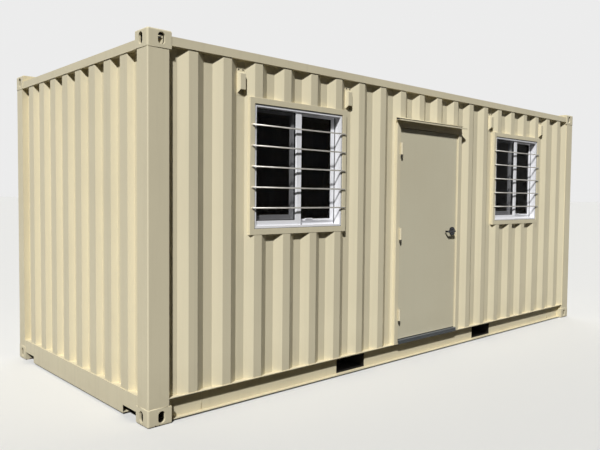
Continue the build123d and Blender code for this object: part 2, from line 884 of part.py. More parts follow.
# Drip cap over the door, with a bar above it that closes the folds of the wall
with BuildPart() as drip_cap:
    ridge_face = -half_width + wall_inset
    with BuildSketch(Plane.YZ.offset(door_x - frame_half - cap_overhang)):
        sheet_face(
            [
                (ridge_face, header_top + cap_steel),
                (ridge_face - cap_projection, header_top + cap_steel),
                (ridge_face - cap_projection, header_top + cap_steel - cap_lip),
            ],
            cap_steel,
        )
    extrude(amount=2 * (frame_half + cap_overhang))
    with Locations((door_x, ridge_face, header_top + cap_steel + head_bar_rise)):
        Box(
            2 * (frame_half + cap_overhang),
            head_bar_projection,
            head_bar_thickness,
            align=(Align.CENTER, Align.MAX, Align.MIN),
        )
write(drip_cap, "drip_cap")

# Door leaf: a pressed steel shell, bored for the spindle
handle_x = door_x + leaf_width / 2 - handle_backset
with BuildPart() as door_leaf:
    leaf_middle = leaf_front + leaf_thickness / 2
    leaf_middle_level = (leaf_base + leaf_top) / 2
    with Locations((door_x, leaf_middle, leaf_middle_level)):
        Box(leaf_width, leaf_thickness, leaf_height)
        Box(
            leaf_width - 2 * leaf_skin,
            leaf_thickness - 2 * leaf_skin,
            leaf_height - 2 * leaf_skin,
            mode=Mode.SUBTRACT,
        )
    with Locations(Location((handle_x, leaf_middle, handle_level), (90, 0, 0))):
        Cylinder(rose_hub_radius, 2 * leaf_thickness, mode=Mode.SUBTRACT)
    with Locations((door_x + leaf_width / 2, leaf_middle, handle_level)):
        Box(2 * lock_face_thickness, lock_face_width, lock_face_height, mode=Mode.SUBTRACT)
write(door_leaf, "door_leaf")

# Butt hinges, three knuckles on the frame and two on the leaf
hinge_x = door_x - leaf_width / 2 - leaf_gap / 2
hinge_y = frame_front - hinge_knuckle_radius
hinge_levels = (
    leaf_base + hinge_bottom_from_leaf_bottom,
    handle_level,
    leaf_top - hinge_top_from_leaf_top,
)
knuckle_count = 5
knuckle_pitch = hinge_height / knuckle_count
hinge_plate_front = hinge_y + hinge_knuckle_radius + hinge_knuckle_gap


def hinge_half(level, indices, side):
    """One half of a hinge: its plate in the gap and its knuckles, numbered from the bottom."""
    plate_align = (Align.MIN if side < 0 else Align.MAX, Align.MIN, Align.MIN)
    plate_x = hinge_x + side * leaf_gap / 2
    with Locations((plate_x, hinge_plate_front, level - hinge_height / 2)):
        Box(hinge_plate, hinge_plate_width, hinge_height, align=plate_align)
    for index in indices:
        start = level - hinge_height / 2 + knuckle_pitch * index + hinge_knuckle_gap / 2
        rise = knuckle_pitch - hinge_knuckle_gap
        with Locations((hinge_x, hinge_y, start)):
            Cylinder(hinge_knuckle_radius, rise, align=(Align.CENTER, Align.CENTER, Align.MIN))
        with Locations((plate_x, hinge_y, start)):
            Box(hinge_plate, hinge_plate_front - hinge_y, rise, align=plate_align)


with BuildPart() as frame_hinge_halves:
    for level in hinge_levels:
        hinge_half(level, (0, 2, 4), -1)
        with Locations((hinge_x, hinge_y, level - hinge_height / 2 - hinge_pin_tail)):
            Cylinder(
                hinge_pin_radius,
                hinge_height + hinge_pin_tail,
                align=(Align.CENTER, Align.CENTER, Align.MIN),
            )
write(frame_hinge_halves, "frame_hinge_halves")

with BuildPart() as leaf_hinge_halves:
    for level in hinge_levels:
        hinge_half(level, (1, 3), 1)
        with Locations((hinge_x, hinge_y, level)):
            Cylinder(hinge_pin_radius + hinge_pin_fit, 2 * hinge_height, mode=Mode.SUBTRACT)
write(leaf_hinge_halves, "leaf_hinge_halves")

# Roses on both faces of the leaf and the face plate of the lock in its edge
with BuildPart() as handle_roses:
    for face_y, out in ((leaf_front, -1), (leaf_front + leaf_thickness, 1)):
        rose_plane = Plane(origin=(handle_x, face_y, handle_level), x_dir=(1, 0, 0), z_dir=(0, out, 0))
        with BuildSketch(rose_plane):
            Circle(rose_radius)
        extrude(amount=rose_thickness)
        with BuildSketch(rose_plane.offset(rose_thickness)):
            Circle(rose_hub_radius)
        extrude(amount=rose_hub_length)
        with BuildSketch(rose_plane):
            Circle(spindle_radius + spindle_fit)
        extrude(amount=rose_thickness + rose_hub_length, mode=Mode.SUBTRACT)
write(handle_roses, "handle_roses")

with BuildPart() as lock_face_plate:
    with Locations((door_x + leaf_width / 2, leaf_middle, handle_level)):
        Box(
            lock_face_thickness,
            lock_face_width,
            lock_face_height,
            align=(Align.MAX, Align.CENTER, Align.CENTER),
        )
write(lock_face_plate, "lock_face_plate")

# Lever handles on one spindle, each with a return towards the leaf
with BuildPart() as lever_handle:
    hub_face = rose_thickness + rose_hub_length + lever_hub_gap
    for face_y, out in ((leaf_front, -1), (leaf_front + leaf_thickness, 1)):
        with BuildLine():
            lever_y = face_y + out * (rose_thickness + lever_stand_off)
            FilletPolyline(
                (handle_x, face_y + out * hub_face, handle_level),
                (handle_x, lever_y, handle_level),
                (handle_x - lever_length, lever_y, handle_level),
                (handle_x - lever_length, lever_y - out * lever_return, handle_level),
                radius=lever_bend_radius,
            )
        with BuildSketch(Plane(origin=(handle_x, face_y + out * hub_face, handle_level), z_dir=(0, out, 0))):
            Circle(lever_radius)
        sweep()
    with Locations(Location((handle_x, leaf_middle, handle_level), (90, 0, 0))):
        Cylinder(spindle_radius, leaf_thickness + 2 * (hub_face + lever_hub_gap))
write(lever_handle, "lever_handle")

# Cargo doors, closed: a tube frame round a ridged panel
cargo_leaf_width = cargo_half - cargo_door_gap - cargo_door_gap / 2
cargo_leaf_base = cargo_sill_top + cargo_door_gap
cargo_leaf_top = cargo_header_bottom - cargo_door_gap
cargo_panel_half = cargo_leaf_width / 2 - cargo_frame
cargo_ridges = [-cargo_ridge_pitch, 0.0, cargo_ridge_pitch]
for side, name in ((-1, "cargo_door_left"), (1, "cargo_door_right")):
    with BuildPart() as cargo_door:
        leaf_y = side * (cargo_door_gap / 2 + cargo_leaf_width / 2)
        leaf_z = (cargo_leaf_base + cargo_leaf_top) / 2
        leaf_rise = cargo_leaf_top - cargo_leaf_base
        with Locations((cargo_face - cargo_frame / 2, leaf_y, leaf_z)):
            Box(cargo_frame, cargo_leaf_width, leaf_rise)
            Box(
                2 * cargo_frame,
                cargo_leaf_width - 2 * cargo_frame,
                leaf_rise - 2 * cargo_frame,
                mode=Mode.SUBTRACT,
            )
            Box(
                cargo_frame - 2 * cargo_frame_wall,
                cargo_leaf_width - 2 * cargo_frame_wall,
                leaf_rise - 2 * cargo_frame_wall,
                mode=Mode.SUBTRACT,
            )
            Box(
                cargo_frame,
                cargo_leaf_width - 2 * cargo_frame + 2 * cargo_frame_wall,
                leaf_rise - 2 * cargo_frame + 2 * cargo_frame_wall,
            )
            Box(
                2 * cargo_frame,
                cargo_leaf_width - 2 * cargo_frame,
                leaf_rise - 2 * cargo_frame,
                mode=Mode.SUBTRACT,
            )
        with BuildSketch(Plane.XY.offset(cargo_leaf_base + cargo_frame)):
            outline = fold_outline(
                -cargo_panel_half,
                cargo_panel_half,
                cargo_ridges,
                cargo_ridge_flat,
                cargo_ridge_slope,
                cargo_ridge_depth,
            )
            panel_face = cargo_face - wall_inset
            sheet_face([(panel_face - set_back, leaf_y + y) for y, set_back in outline], cargo_panel_sheet)
        extrude(amount=leaf_rise - 2 * cargo_frame)
    write(cargo_door, name)

# Cargo door hinges: a cranked blade on the leaf between two lugs on the post
hinge_rise = cargo_leaf_top - cargo_leaf_base
post_face = half_length - post_inset
blade_edge = cargo_half - cargo_hinge_plate - cargo_hinge_gap
pin_x = post_face + cargo_hinge_radius + cargo_hinge_gap
pin_y = cargo_half + cargo_hinge_radius + cargo_hinge_plate
hinge_pitch = (hinge_rise - 2 * cargo_hinge_margin) / (cargo_hinge_count - 1)
cargo_hinge_levels = [
    cargo_leaf_base + cargo_hinge_margin + hinge_pitch * n for n in range(cargo_hinge_count)
]
with BuildPart() as cargo_hinge_blades:
    for level in cargo_hinge_levels:
        with BuildSketch(Plane.XY.offset(level - cargo_hinge_height / 2)):
            sheet_face(
                [
                    (cargo_face + cargo_hinge_plate, blade_edge - cargo_hinge_reach),
                    (cargo_face + cargo_hinge_plate, blade_edge),
                    (pin_x + cargo_hinge_plate / 2, blade_edge),
                    (pin_x + cargo_hinge_plate / 2, pin_y),
                ],
                cargo_hinge_plate,
            )
            with Locations((pin_x, pin_y)):
                Circle(cargo_hinge_radius)
                Circle(cargo_pin_radius + cargo_pin_fit, mode=Mode.SUBTRACT)
        extrude(amount=cargo_hinge_height)
    mirror(about=Plane.XZ)
write(cargo_hinge_blades, "cargo_hinge_blades")

with BuildPart() as cargo_hinge_lugs:
    for level in cargo_hinge_levels:
        for side in (-1, 1):
            lug_z = level + side * (cargo_hinge_height / 2 + cargo_hinge_seat + cargo_hinge_lug / 2)
            with Locations((post_face, pin_y, lug_z)):
                Box(
                    2 * cargo_hinge_radius + cargo_hinge_gap,
                    2 * cargo_hinge_radius,
                    cargo_hinge_lug,
                    align=(Align.MIN, Align.CENTER, Align.CENTER),
                )
        with Locations((pin_x, pin_y, level)):
            Cylinder(cargo_pin_radius, cargo_hinge_height + 2 * cargo_hinge_lug)
    mirror(about=Plane.XZ)
write(cargo_hinge_lugs, "cargo_hinge_lugs")

# Lock rods on the outer ridges of the leaves, with a cam at each end
rod_x = cargo_face + cargo_rod_stand_off + cargo_rod_radius
leaf_middle_y = cargo_door_gap / 2 + cargo_leaf_width / 2
outer_ridges = (cargo_ridges[0], cargo_ridges[-1])
rod_places = [side * (leaf_middle_y + ridge) for side in (-1, 1) for ridge in outer_ridges]
rod_base = cargo_sill_top - cargo_cam_reach
rod_top = cargo_header_bottom + cargo_cam_reach
with BuildPart() as cargo_lock_rods:
    for rod_y in rod_places:
        with BuildSketch(Plane.XY.offset(rod_base)):
            with Locations((rod_x, rod_y)):
                Circle(cargo_rod_radius)
        extrude(amount=rod_top - rod_base)
        for cam_base in (rod_base, rod_top - cargo_cam_height):
            with BuildSketch(Plane.XY.offset(cam_base)):
                with Locations((rod_x, rod_y)):
                    Rectangle(2 * cargo_rod_radius, cargo_cam_width)
            extrude(amount=cargo_cam_height)
        with BuildSketch(Plane.XY.offset(rod_base)):
            with Locations((rod_x, rod_y)):
                Circle(cargo_rod_radius - cargo_rod_wall)
        extrude(amount=rod_top - rod_base, mode=Mode.SUBTRACT)
write(cargo_lock_rods, "cargo_lock_rods")

# Keepers on the header and the sill, round the cams
keeper_half = cargo_cam_width / 2 + cargo_keeper_gap
keeper_depth = cargo_rod_stand_off + 2 * cargo_rod_radius
cam_middles = (rod_base + cargo_cam_height / 2, rod_top - cargo_cam_height / 2)
with BuildPart() as cargo_cam_keepers:
    for rod_y in rod_places:
        for level in cam_middles:
            with Locations((cargo_face, rod_y, level)):
                Box(
                    cargo_rod_stand_off - cargo_keeper_gap,
                    2 * keeper_half,
                    cargo_keeper_height,
                    align=(Align.MIN, Align.CENTER, Align.CENTER),
                )
            for side in (-1, 1):
                with Locations((cargo_face, rod_y + side * (keeper_half + cargo_keeper_steel / 2), level)):
                    Box(
                        keeper_depth,
                        cargo_keeper_steel,
                        cargo_keeper_height,
                        align=(Align.MIN, Align.CENTER, Align.CENTER),
                    )
write(cargo_cam_keepers, "cargo_cam_keepers")

# Guides that hold the rods on the leaves
guide_pitch = hinge_rise / (cargo_guide_count + 1)
guide_levels = [cargo_leaf_base + guide_pitch * (n + 1) for n in range(cargo_guide_count)]
cargo_handle_level = guide_levels[1] + cargo_handle_over_guide
with BuildPart() as cargo_rod_guides:
    guide_back = cargo_face - wall_inset
    guide_front = rod_x + cargo_rod_radius + cargo_guide_steel
    for rod_y in rod_places:
        for guide_level in guide_levels:
            with Locations((guide_back, rod_y, guide_level)):
                Box(
                    guide_front - guide_back,
                    cargo_guide_width,
                    cargo_guide_height,
                    align=(Align.MIN, Align.CENTER, Align.CENTER),
                )
        with BuildSketch(Plane.XY.offset(cargo_leaf_base)):
            with Locations((rod_x, rod_y)):
                Circle(cargo_rod_radius + cargo_guide_fit)
        extrude(amount=hinge_rise, mode=Mode.SUBTRACT)
write(cargo_rod_guides, "cargo_rod_guides")

# Handles on the rods, which lie in a catch on the middle ridge of each leaf
with BuildPart() as cargo_handles:
    for rod_y in rod_places:
        middle_y = leaf_middle_y if rod_y > 0 else -leaf_middle_y
        inward = 1 if rod_y < middle_y else -1
        reach = abs(middle_y - rod_y) - cargo_catch_width / 2 - cargo_catch_gap
        with BuildSketch(Plane.XY.offset(cargo_handle_level - cargo_handle_height / 2)):
            with Locations((rod_x, rod_y)):
                Circle(cargo_rod_radius + cargo_hub_wall)
            with Locations((rod_x, rod_y + inward * reach / 2)):
                Rectangle(cargo_handle_thickness, reach)
            with Locations((rod_x, rod_y)):
                Circle(cargo_rod_radius + cargo_guide_fit, mode=Mode.SUBTRACT)
        extrude(amount=cargo_handle_height)
write(cargo_handles, "cargo_handles")

with BuildPart() as cargo_handle_catches:
    for side in (-1, 1):
        with Locations((guide_back, side * leaf_middle_y, cargo_handle_level)):
            Box(
                rod_x + cargo_handle_thickness / 2 - guide_back,
                cargo_catch_width,
                cargo_catch_height,
                align=(Align.MIN, Align.CENTER, Align.CENTER),
            )
write(cargo_handle_catches, "cargo_handle_catches")
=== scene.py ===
"""Dresses the shipping container cabin: finishes, small trim, studio light and camera."""

import json
import math

import bmesh
import bpy
from mathutils import Matrix, Vector


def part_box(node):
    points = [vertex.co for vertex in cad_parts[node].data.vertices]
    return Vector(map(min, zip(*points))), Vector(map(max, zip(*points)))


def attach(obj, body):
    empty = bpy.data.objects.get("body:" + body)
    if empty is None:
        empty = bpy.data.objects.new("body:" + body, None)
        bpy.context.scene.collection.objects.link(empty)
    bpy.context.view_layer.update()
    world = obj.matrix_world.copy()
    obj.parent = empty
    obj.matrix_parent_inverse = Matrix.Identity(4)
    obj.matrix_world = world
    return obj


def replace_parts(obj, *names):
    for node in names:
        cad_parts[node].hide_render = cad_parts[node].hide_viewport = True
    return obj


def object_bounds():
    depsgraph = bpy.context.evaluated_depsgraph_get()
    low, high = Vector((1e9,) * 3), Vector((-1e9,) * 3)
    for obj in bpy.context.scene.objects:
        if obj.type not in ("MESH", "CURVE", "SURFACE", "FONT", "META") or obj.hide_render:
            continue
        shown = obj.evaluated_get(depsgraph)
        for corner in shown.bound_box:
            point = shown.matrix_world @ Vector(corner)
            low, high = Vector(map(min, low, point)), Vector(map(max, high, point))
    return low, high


bl_info = {
    "name": "Shipping container cabin",
    "version": (1, 0, 0),
    "blender": (4, 5, 0),
    "location": "3D View > Sidebar > Cabin",
    "description": "Finishes and small trim for a steel container cabin with a door and barred windows",
    "category": "Object",
}

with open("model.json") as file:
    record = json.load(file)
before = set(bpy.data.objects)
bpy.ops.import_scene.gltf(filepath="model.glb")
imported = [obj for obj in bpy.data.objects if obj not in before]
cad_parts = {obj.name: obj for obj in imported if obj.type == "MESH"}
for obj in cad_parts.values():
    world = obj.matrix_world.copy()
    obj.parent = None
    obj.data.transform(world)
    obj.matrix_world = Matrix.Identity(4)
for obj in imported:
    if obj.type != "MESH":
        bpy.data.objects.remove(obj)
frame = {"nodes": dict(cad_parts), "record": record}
CAD_LOW, CAD_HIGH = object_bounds()
MM = 0.001
# Two places closer than this are the same one
NEAR = 0.2 * MM
# An edge that turns by more than this is rounded
SHARP = math.radians(40)
CASTING_UPRIGHT_RADIUS = 14 * MM
# How deep a casting's walls keep the cream, from its outer faces inwards; further in, its hollow gets painted
# shade
CASTING_UNSHADED_DEPTH = 14 * MM


def linear(hex_colour):
    """Turn an sRGB hex colour into linear RGBA."""
    channels = [int(hex_colour[i : i + 2], 16) / 255 for i in (0, 2, 4)]
    lit = [c / 12.92 if c <= 0.04045 else ((c + 0.055) / 1.055) ** 2.4 for c in channels]
    return (*lit, 1.0)


def length_property(name, description, millimetres):
    """A length that the user can change, given in millimetres."""
    return bpy.props.FloatProperty(
        name=name, description=description, default=millimetres * MM, min=0.0, unit="LENGTH"
    )


def colour_property(name, description, hex_colour):
    """A colour that the user can change."""
    return bpy.props.FloatVectorProperty(
        name=name,
        description=description,
        default=linear(hex_colour),
        size=4,
        min=0.0,
        max=1.0,
        subtype="COLOR",
    )


class CabinSizes(bpy.types.PropertyGroup):
    """Sizes of the trim that is added to the steel model"""

    casting_edge: length_property("Casting edge", "Radius of the corner castings' edges", 5)
    casting_rim: length_property("Casting rim", "Radius of the castings' edges at the top and bottom", 11)
    tube_edge: length_property("Tube edge", "Radius of the rectangular tubes' edges", 1.4)
    profile_edge: length_property("Profile edge", "Radius of the aluminium profiles' edges", 1.2)
    stile_cut: length_property("Stile cut", "Width of the slant on a fixed sash's stile by the pane", 22)
    bar_diameter: length_property("Bar diameter", "Diameter of a window bar", 12)
    bar_length: length_property("Bar length", "Length of a window bar", 975)
    bar_pitch: length_property("Bar pitch", "Height from one window bar to the next", 152.5)
    bar_count: bpy.props.IntProperty(name="Bars", description="Bars across each window", default=5, min=1)
    tack_radius: length_property("Tack radius", "Radius of the weld at a bar's end", 8)
    gasket_face: length_property("Gasket face", "Face of the glazing gasket", 5)
    gasket_rise: length_property("Gasket rise", "How far the glazing gasket stands off the pane", 3)
    seal_face: length_property("Seal face", "Face of the seal round a window casing", 3.5)
    seal_rise: length_property("Seal rise", "How far the seal stands off the casing", 1.5)
    strip_face: length_property("Weatherstrip face", "Face of the weatherstrip beside a sliding sash", 7)
    # A black strip along the drip cap: painted shade for the gap under the bar over it
    shade_strip_rise: length_property("Sealant rise", "Height of the sealant on the drip cap", 14)
    latch_length: length_property("Latch length", "Length of the latch on a sliding sash", 80)
    latch_height: length_property("Latch height", "Height of the latch on a sliding sash", 16)
    latch_depth: length_property("Latch depth", "Depth of the latch on a sliding sash", 9)
    rivet_radius: length_property("Rivet radius", "Radius of a rivet head on a ventilator", 6)
    weld_radius: length_property("Weld radius", "Radius of a weld bead", 3)
    bolt_radius: length_property("Bolt radius", "Radius of a bolt head across its corners", 8)
    screw_radius: length_property("Screw radius", "Radius of a floor screw's head", 6)
    screw_pitch: length_property("Screw pitch", "Distance between floor screws", 300)
    seal_depth: length_property("Door seal depth", "Depth of the cargo doors' seals", 36)


class CabinColours(bpy.types.PropertyGroup):
    """Colours of the finishes"""

    cream: colour_property("Cream paint", "Container paint", "E5DBBC")
    cream_dull: colour_property("Dull paint", "The same paint where it has weathered", "D3C9AC")
    run_grey: colour_property("Rain marks", "What rain has left in faint runs", "B0A78E")
    road_dust: colour_property("Road dust", "Dust thrown up on the lowest steel", "8F8368")
    # Near brown for chips, and also painted contact shade along the lowest edge of the rails and castings
    chip_and_contact_shade_brown: colour_property("Chips", "Primer and rust where the paint is knocked off", "3A2A20")
    # Also used as painted shade inside the corner castings' hollows
    underseal: colour_property("Underseal", "Bitumen on the steel below the floor", "17140F")
    window_white: colour_property("Window white", "Powder coat of the window casings", "F6F6F9")
    glass: colour_property("Glass", "Grey tinted glass", "020305")
    bar_grey: colour_property("Bar grey", "Galvanised bars", "BFBCB5")
    rubber: colour_property("Rubber", "Gaskets and seals", "18181A")
    threshold_grey: colour_property("Threshold grey", "Mill finish aluminium, scuffed", "53575B")
    dark_chrome: colour_property("Dark chrome", "Lever and roses", "3C3D42")
    # A darker copy of the cream: painted shade on the door leaf's face
    shaded_door_cream: colour_property("Door paint", "Paint of the door leaf, which is duller", "DBD4B9")
    # Near black rivet heads: painted shade for the dark holes in their middles
    rivet_hole_shade_black: colour_property("Rivet black", "Blackened steel rivets", "2B2622")
    zinc: colour_property("Zinc", "Zinc plated steel", "A3A5A6")
    plywood: colour_property("Plywood", "Oiled hardwood plywood", "7A5638")
    stage: colour_property("Stage", "Studio floor", "E8E8E6")


def sizes():
    """The scene's sizes."""
    return bpy.context.scene.cabin_sizes


def colours():
    """The scene's colours."""
    return bpy.context.scene.cabin_colours


def across(size_mm):
    """The scale of a texture whose pattern is about size_mm across."""
    return 1 / (size_mm * MM)


def add_node(tree, kind, settings=None, values=None, links=None):
    """Add a node, set its options and socket values, and link its inputs."""
    node = tree.nodes.new(kind)
    for option, value in (settings or {}).items():
        setattr(node, option, value)
    for socket, value in (values or {}).items():
        node.inputs[socket].default_value = value
    for socket, source in (links or {}).items():
        tree.links.new(source, node.inputs[socket])
    return node


def start_material(name):
    """An empty node material, with the place of each point on its piece."""
    material = bpy.data.materials.new(name)
    material.use_nodes = True
    tree = material.node_tree
    tree.nodes.clear()
    place = add_node(tree, "ShaderNodeTexCoord").outputs["Object"]
    return material, tree, place


def lay_over(tree, under, over, pattern, start=0.0, end=1.0, most=1.0):
    """Lay one colour over another, more of it as a pattern goes from start to end."""
    share = add_node(
        tree,
        "ShaderNodeMapRange",
        values={"From Min": start, "From Max": end, "To Max": most},
        links={"Value": pattern},
    )
    # A colour is a plain value or the output of an earlier layer
    values, links = {}, {0: share.outputs["Result"]}
    for socket, colour in ((6, under), (7, over)):
        (links if isinstance(colour, bpy.types.NodeSocket) else values)[socket] = colour
    return add_node(tree, "ShaderNodeMix", {"data_type": "RGBA"}, values, links).outputs[2]


def end_material(tree, colour, gloss, roughness, relief, strength, depth_mm, values):
    """Give a material its colour, a roughness that follows one pattern and a relief that follows another."""
    dulled = add_node(
        tree,
        "ShaderNodeMapRange",
        values={"From Min": 0.3, "From Max": 0.7, "To Min": roughness[0], "To Max": roughness[1]},
        links={"Value": gloss},
    )
    bump = add_node(
        tree,
        "ShaderNodeBump",
        values={"Strength": strength, "Distance": depth_mm * MM},
        links={"Height": relief},
    )
    shader = add_node(
        tree,
        "ShaderNodeBsdfPrincipled",
        values=values,
        links={"Base Color": colour, "Roughness": dulled.outputs["Result"], "Normal": bump.outputs["Normal"]},
    )
    add_node(tree, "ShaderNodeOutputMaterial", links={"Surface": shader.outputs["BSDF"]})


def from_casting(tree, place, pocket):
    """How far a point is from the middle of the nearest corner casting: 1 where its cream ends and the
    painted shade of its hollow starts.
    """
    middle, centre, half = pocket
    from_middle = add_node(tree, "ShaderNodeVectorMath", {"operation": "SUBTRACT"}, {1: middle}, {0: place})
    # The eight castings are mirror images, so one corner of the cabin stands for all
    corner = add_node(
        tree, "ShaderNodeVectorMath", {"operation": "ABSOLUTE"}, links={0: from_middle.outputs["Vector"]}
    )
    off_centre = add_node(
        tree, "ShaderNodeVectorMath", {"operation": "SUBTRACT"}, {1: centre}, {0: corner.outputs["Vector"]}
    )
    off_centre = add_node(
        tree, "ShaderNodeVectorMath", {"operation": "ABSOLUTE"}, links={0: off_centre.outputs["Vector"]}
    )
    share = add_node(
        tree, "ShaderNodeVectorMath", {"operation": "DIVIDE"}, {1: half}, {0: off_centre.outputs["Vector"]}
    )
    along = add_node(tree, "ShaderNodeSeparateXYZ", links={"Vector": share.outputs["Vector"]})
    furthest = along.outputs["X"]
    for axis in ("Y", "Z"):
        furthest = add_node(
            tree, "ShaderNodeMath", {"operation": "MAXIMUM"}, links={0: furthest, 1: along.outputs[axis]}
        ).outputs[0]
    return furthest


def alkyd_enamel(name, fresh, dust_top_mm=420, dust=0.35, chip_and_shade_top_mm=0.1, rain=0.12, pocket=None):
    """Alkyd enamel sprayed on steel: an even satin cream with an orange peel, rain runs and dust low down."""
    material, tree, place = start_material(name)
    colour = colours()
    weathered = add_node(
        tree, "ShaderNodeTexNoise", values={"Scale": across(900), "Detail": 3.0}, links={"Vector": place}
    )
    paint = lay_over(tree, fresh, colour.cream_dull, weathered.outputs["Fac"], start=0.45, end=0.7, most=0.3)
    # Rain runs are 40 mm wide and about 1.2 m long
    drawn_out = add_node(tree, "ShaderNodeMapping", values={"Scale": (1, 1, 1 / 30)}, links={"Vector": place})
    runs = add_node(
        tree,
        "ShaderNodeTexNoise",
        values={"Scale": across(40), "Detail": 3.0},
        links={"Vector": drawn_out.outputs["Vector"]},
    )
    paint = lay_over(tree, paint, colour.run_grey, runs.outputs["Fac"], start=0.52, end=0.8, most=rain)
    # Dust thins out with height, in clouds 110 mm across
    level = add_node(tree, "ShaderNodeSeparateXYZ", links={"Vector": place}).outputs["Z"]
    near_ground = add_node(
        tree,
        "ShaderNodeMapRange",
        values={"From Max": dust_top_mm * MM, "To Min": dust, "To Max": 0.0},
        links={"Value": level},
    )
    clouds = add_node(
        tree, "ShaderNodeTexNoise", values={"Scale": across(110), "Detail": 4.0}, links={"Vector": place}
    )
    share = add_node(
        tree,
        "ShaderNodeMath",
        {"operation": "MULTIPLY"},
        links={0: near_ground.outputs["Result"], 1: clouds.outputs["Fac"]},
    )
    paint = lay_over(tree, paint, colour.road_dust, share.outputs[0])
    # Chips are 12 mm across and lie where the steel is knocked against the ground. Along the bottom edge of
    # the rails and castings they are also painted contact shade.
    chip_and_shade_band = add_node(
        tree,
        "ShaderNodeMapRange",
        values={"From Max": chip_and_shade_top_mm * MM, "To Min": 0.34, "To Max": 0.0},
        links={"Value": level},
    )
    knocks = add_node(
        tree, "ShaderNodeTexNoise", values={"Scale": across(24), "Detail": 5.0}, links={"Vector": place}
    )
    reach = add_node(
        tree,
        "ShaderNodeMath",
        {"operation": "ADD"},
        links={0: chip_and_shade_band.outputs["Result"], 1: knocks.outputs["Fac"]},
    )
    paint = lay_over(tree, paint, colour.chip_and_contact_shade_brown, reach.outputs[0], start=0.80, end=0.83)
    if pocket:
        # Inside a casting the cream turns to the underseal colour: painted shade for its dark hollow
        paint = lay_over(
            tree, paint, colour.underseal, from_casting(tree, place, pocket), start=1.0, end=0.93
        )
    # The sheet is slightly wavy every 260 mm, and the paint has an orange peel of 7 mm, drawn
    # coarser than the real 2 mm so that it shows
    waves = add_node(
        tree, "ShaderNodeTexNoise", values={"Scale": across(260), "Detail": 1.0}, links={"Vector": place}
    )
    peel = add_node(
        tree, "ShaderNodeTexNoise", values={"Scale": across(7), "Detail": 2.0}, links={"Vector": place}
    )
    relief = add_node(
        tree,
        "ShaderNodeMath",
        {"operation": "MULTIPLY_ADD"},
        {1: 0.05},
        {0: peel.outputs["Fac"], 2: waves.outputs["Fac"]},
    )
    gloss = add_node(
        tree, "ShaderNodeTexNoise", values={"Scale": across(35), "Detail": 4.0}, links={"Vector": place}
    )
    end_material(
        tree,
        colour=paint,
        gloss=gloss.outputs["Fac"],
        roughness=(0.42, 0.56),
        relief=relief.outputs[0],
        strength=1.0,
        depth_mm=1.2,
        values={"IOR": 1.5, "Specular IOR Level": 0.18},
    )
    return material


def hinge_enamel(name, axis_x, axis_y):
    """Brushed enamel over a steel hinge: cream knuckles, and a dark oiled pin that the brush has missed."""
    material, tree, place = start_material(name)
    colour = colours()
    flat = add_node(tree, "ShaderNodeVectorMath", {"operation": "MULTIPLY"}, {1: (1, 1, 0)}, {0: place})
    from_axis = add_node(
        tree,
        "ShaderNodeVectorMath",
        {"operation": "DISTANCE"},
        {1: (axis_x, axis_y, 0)},
        {0: flat.outputs["Vector"]},
    )
    oil = add_node(
        tree, "ShaderNodeTexNoise", values={"Scale": across(5), "Detail": 4.0}, links={"Vector": place}
    )
    steel = lay_over(tree, linear("2A2724"), linear("4A4540"), oil.outputs["Fac"])
    brushed = lay_over(tree, colour.cream, colour.cream_dull, oil.outputs["Fac"])
    # The pin is 6 mm in radius, and the brush has reached the knuckle from 7.5 mm out
    surface = lay_over(tree, steel, brushed, from_axis.outputs["Value"], start=6.5 * MM, end=7.5 * MM)
    end_material(
        tree,
        colour=surface,
        gloss=oil.outputs["Fac"],
        roughness=(0.4, 0.55),
        relief=oil.outputs["Fac"],
        strength=0.4,
        depth_mm=0.1,
        values={"IOR": 1.5},
    )
    return material


def bitumen_underseal(name):
    """Bitumen sprayed thick on the underframe: brown-black and lumpy, with dust in its hollows."""
    material, tree, place = start_material(name)
    lumps = add_node(
        tree, "ShaderNodeTexNoise", values={"Scale": across(14), "Detail": 6.0}, links={"Vector": place}
    )
    tar = lay_over(
        tree, colours().underseal, linear("3A3329"), lumps.outputs["Fac"], start=0.5, end=0.75, most=0.5
    )
    end_material(
        tree,
        colour=tar,
        gloss=lumps.outputs["Fac"],
        roughness=(0.6, 0.85),
        relief=lumps.outputs["Fac"],
        strength=0.7,
        depth_mm=1.0,
        values={"IOR": 1.6, "Specular IOR Level": 0.3},
    )
    return material


def polyester_powder_coat(name):
    """Polyester powder coat on aluminium: clean white with a half gloss, greyed a little by rain dirt."""
    material, tree, place = start_material(name)
    film = add_node(
        tree, "ShaderNodeTexNoise", values={"Scale": across(160), "Detail": 4.0}, links={"Vector": place}
    )
    white = lay_over(
        tree, colours().window_white, linear("CFCECB"), film.outputs["Fac"], start=0.5, end=0.8, most=0.2
    )
    peel = add_node(
        tree, "ShaderNodeTexNoise", values={"Scale": across(3), "Detail": 2.0}, links={"Vector": place}
    )
    end_material(
        tree,
        colour=white,
        gloss=film.outputs["Fac"],
        roughness=(0.28, 0.38),
        relief=peel.outputs["Fac"],
        strength=0.4,
        depth_mm=0.03,
        values={"IOR": 1.5, "Specular IOR Level": 0.5},
    )
    return material


def tinted_float_glass(name):
    """Grey tinted float glass, 5 mm: what lies behind it shows darkened, under a thin film of dust."""
    material, tree, place = start_material(name)
    film = add_node(
        tree, "ShaderNodeTexNoise", values={"Scale": across(220), "Detail": 3.0}, links={"Vector": place}
    )
    tint = lay_over(
        tree, colours().glass, linear("2A323B"), film.outputs["Fac"], start=0.5, end=0.8, most=0.08
    )
    smears = add_node(
        tree,
        "ShaderNodeMapRange",
        values={"From Min": 0.4, "From Max": 0.8, "To Min": 0.03, "To Max": 0.12},
        links={"Value": film.outputs["Fac"]},
    )
    shader = add_node(
        tree,
        "ShaderNodeBsdfPrincipled",
        values={"IOR": 1.52, "Specular IOR Level": 0.05, "Alpha": 0.36},
        links={"Base Color": tint, "Roughness": smears.outputs["Result"]},
    )
    add_node(tree, "ShaderNodeOutputMaterial", links={"Surface": shader.outputs["BSDF"]})
    return material


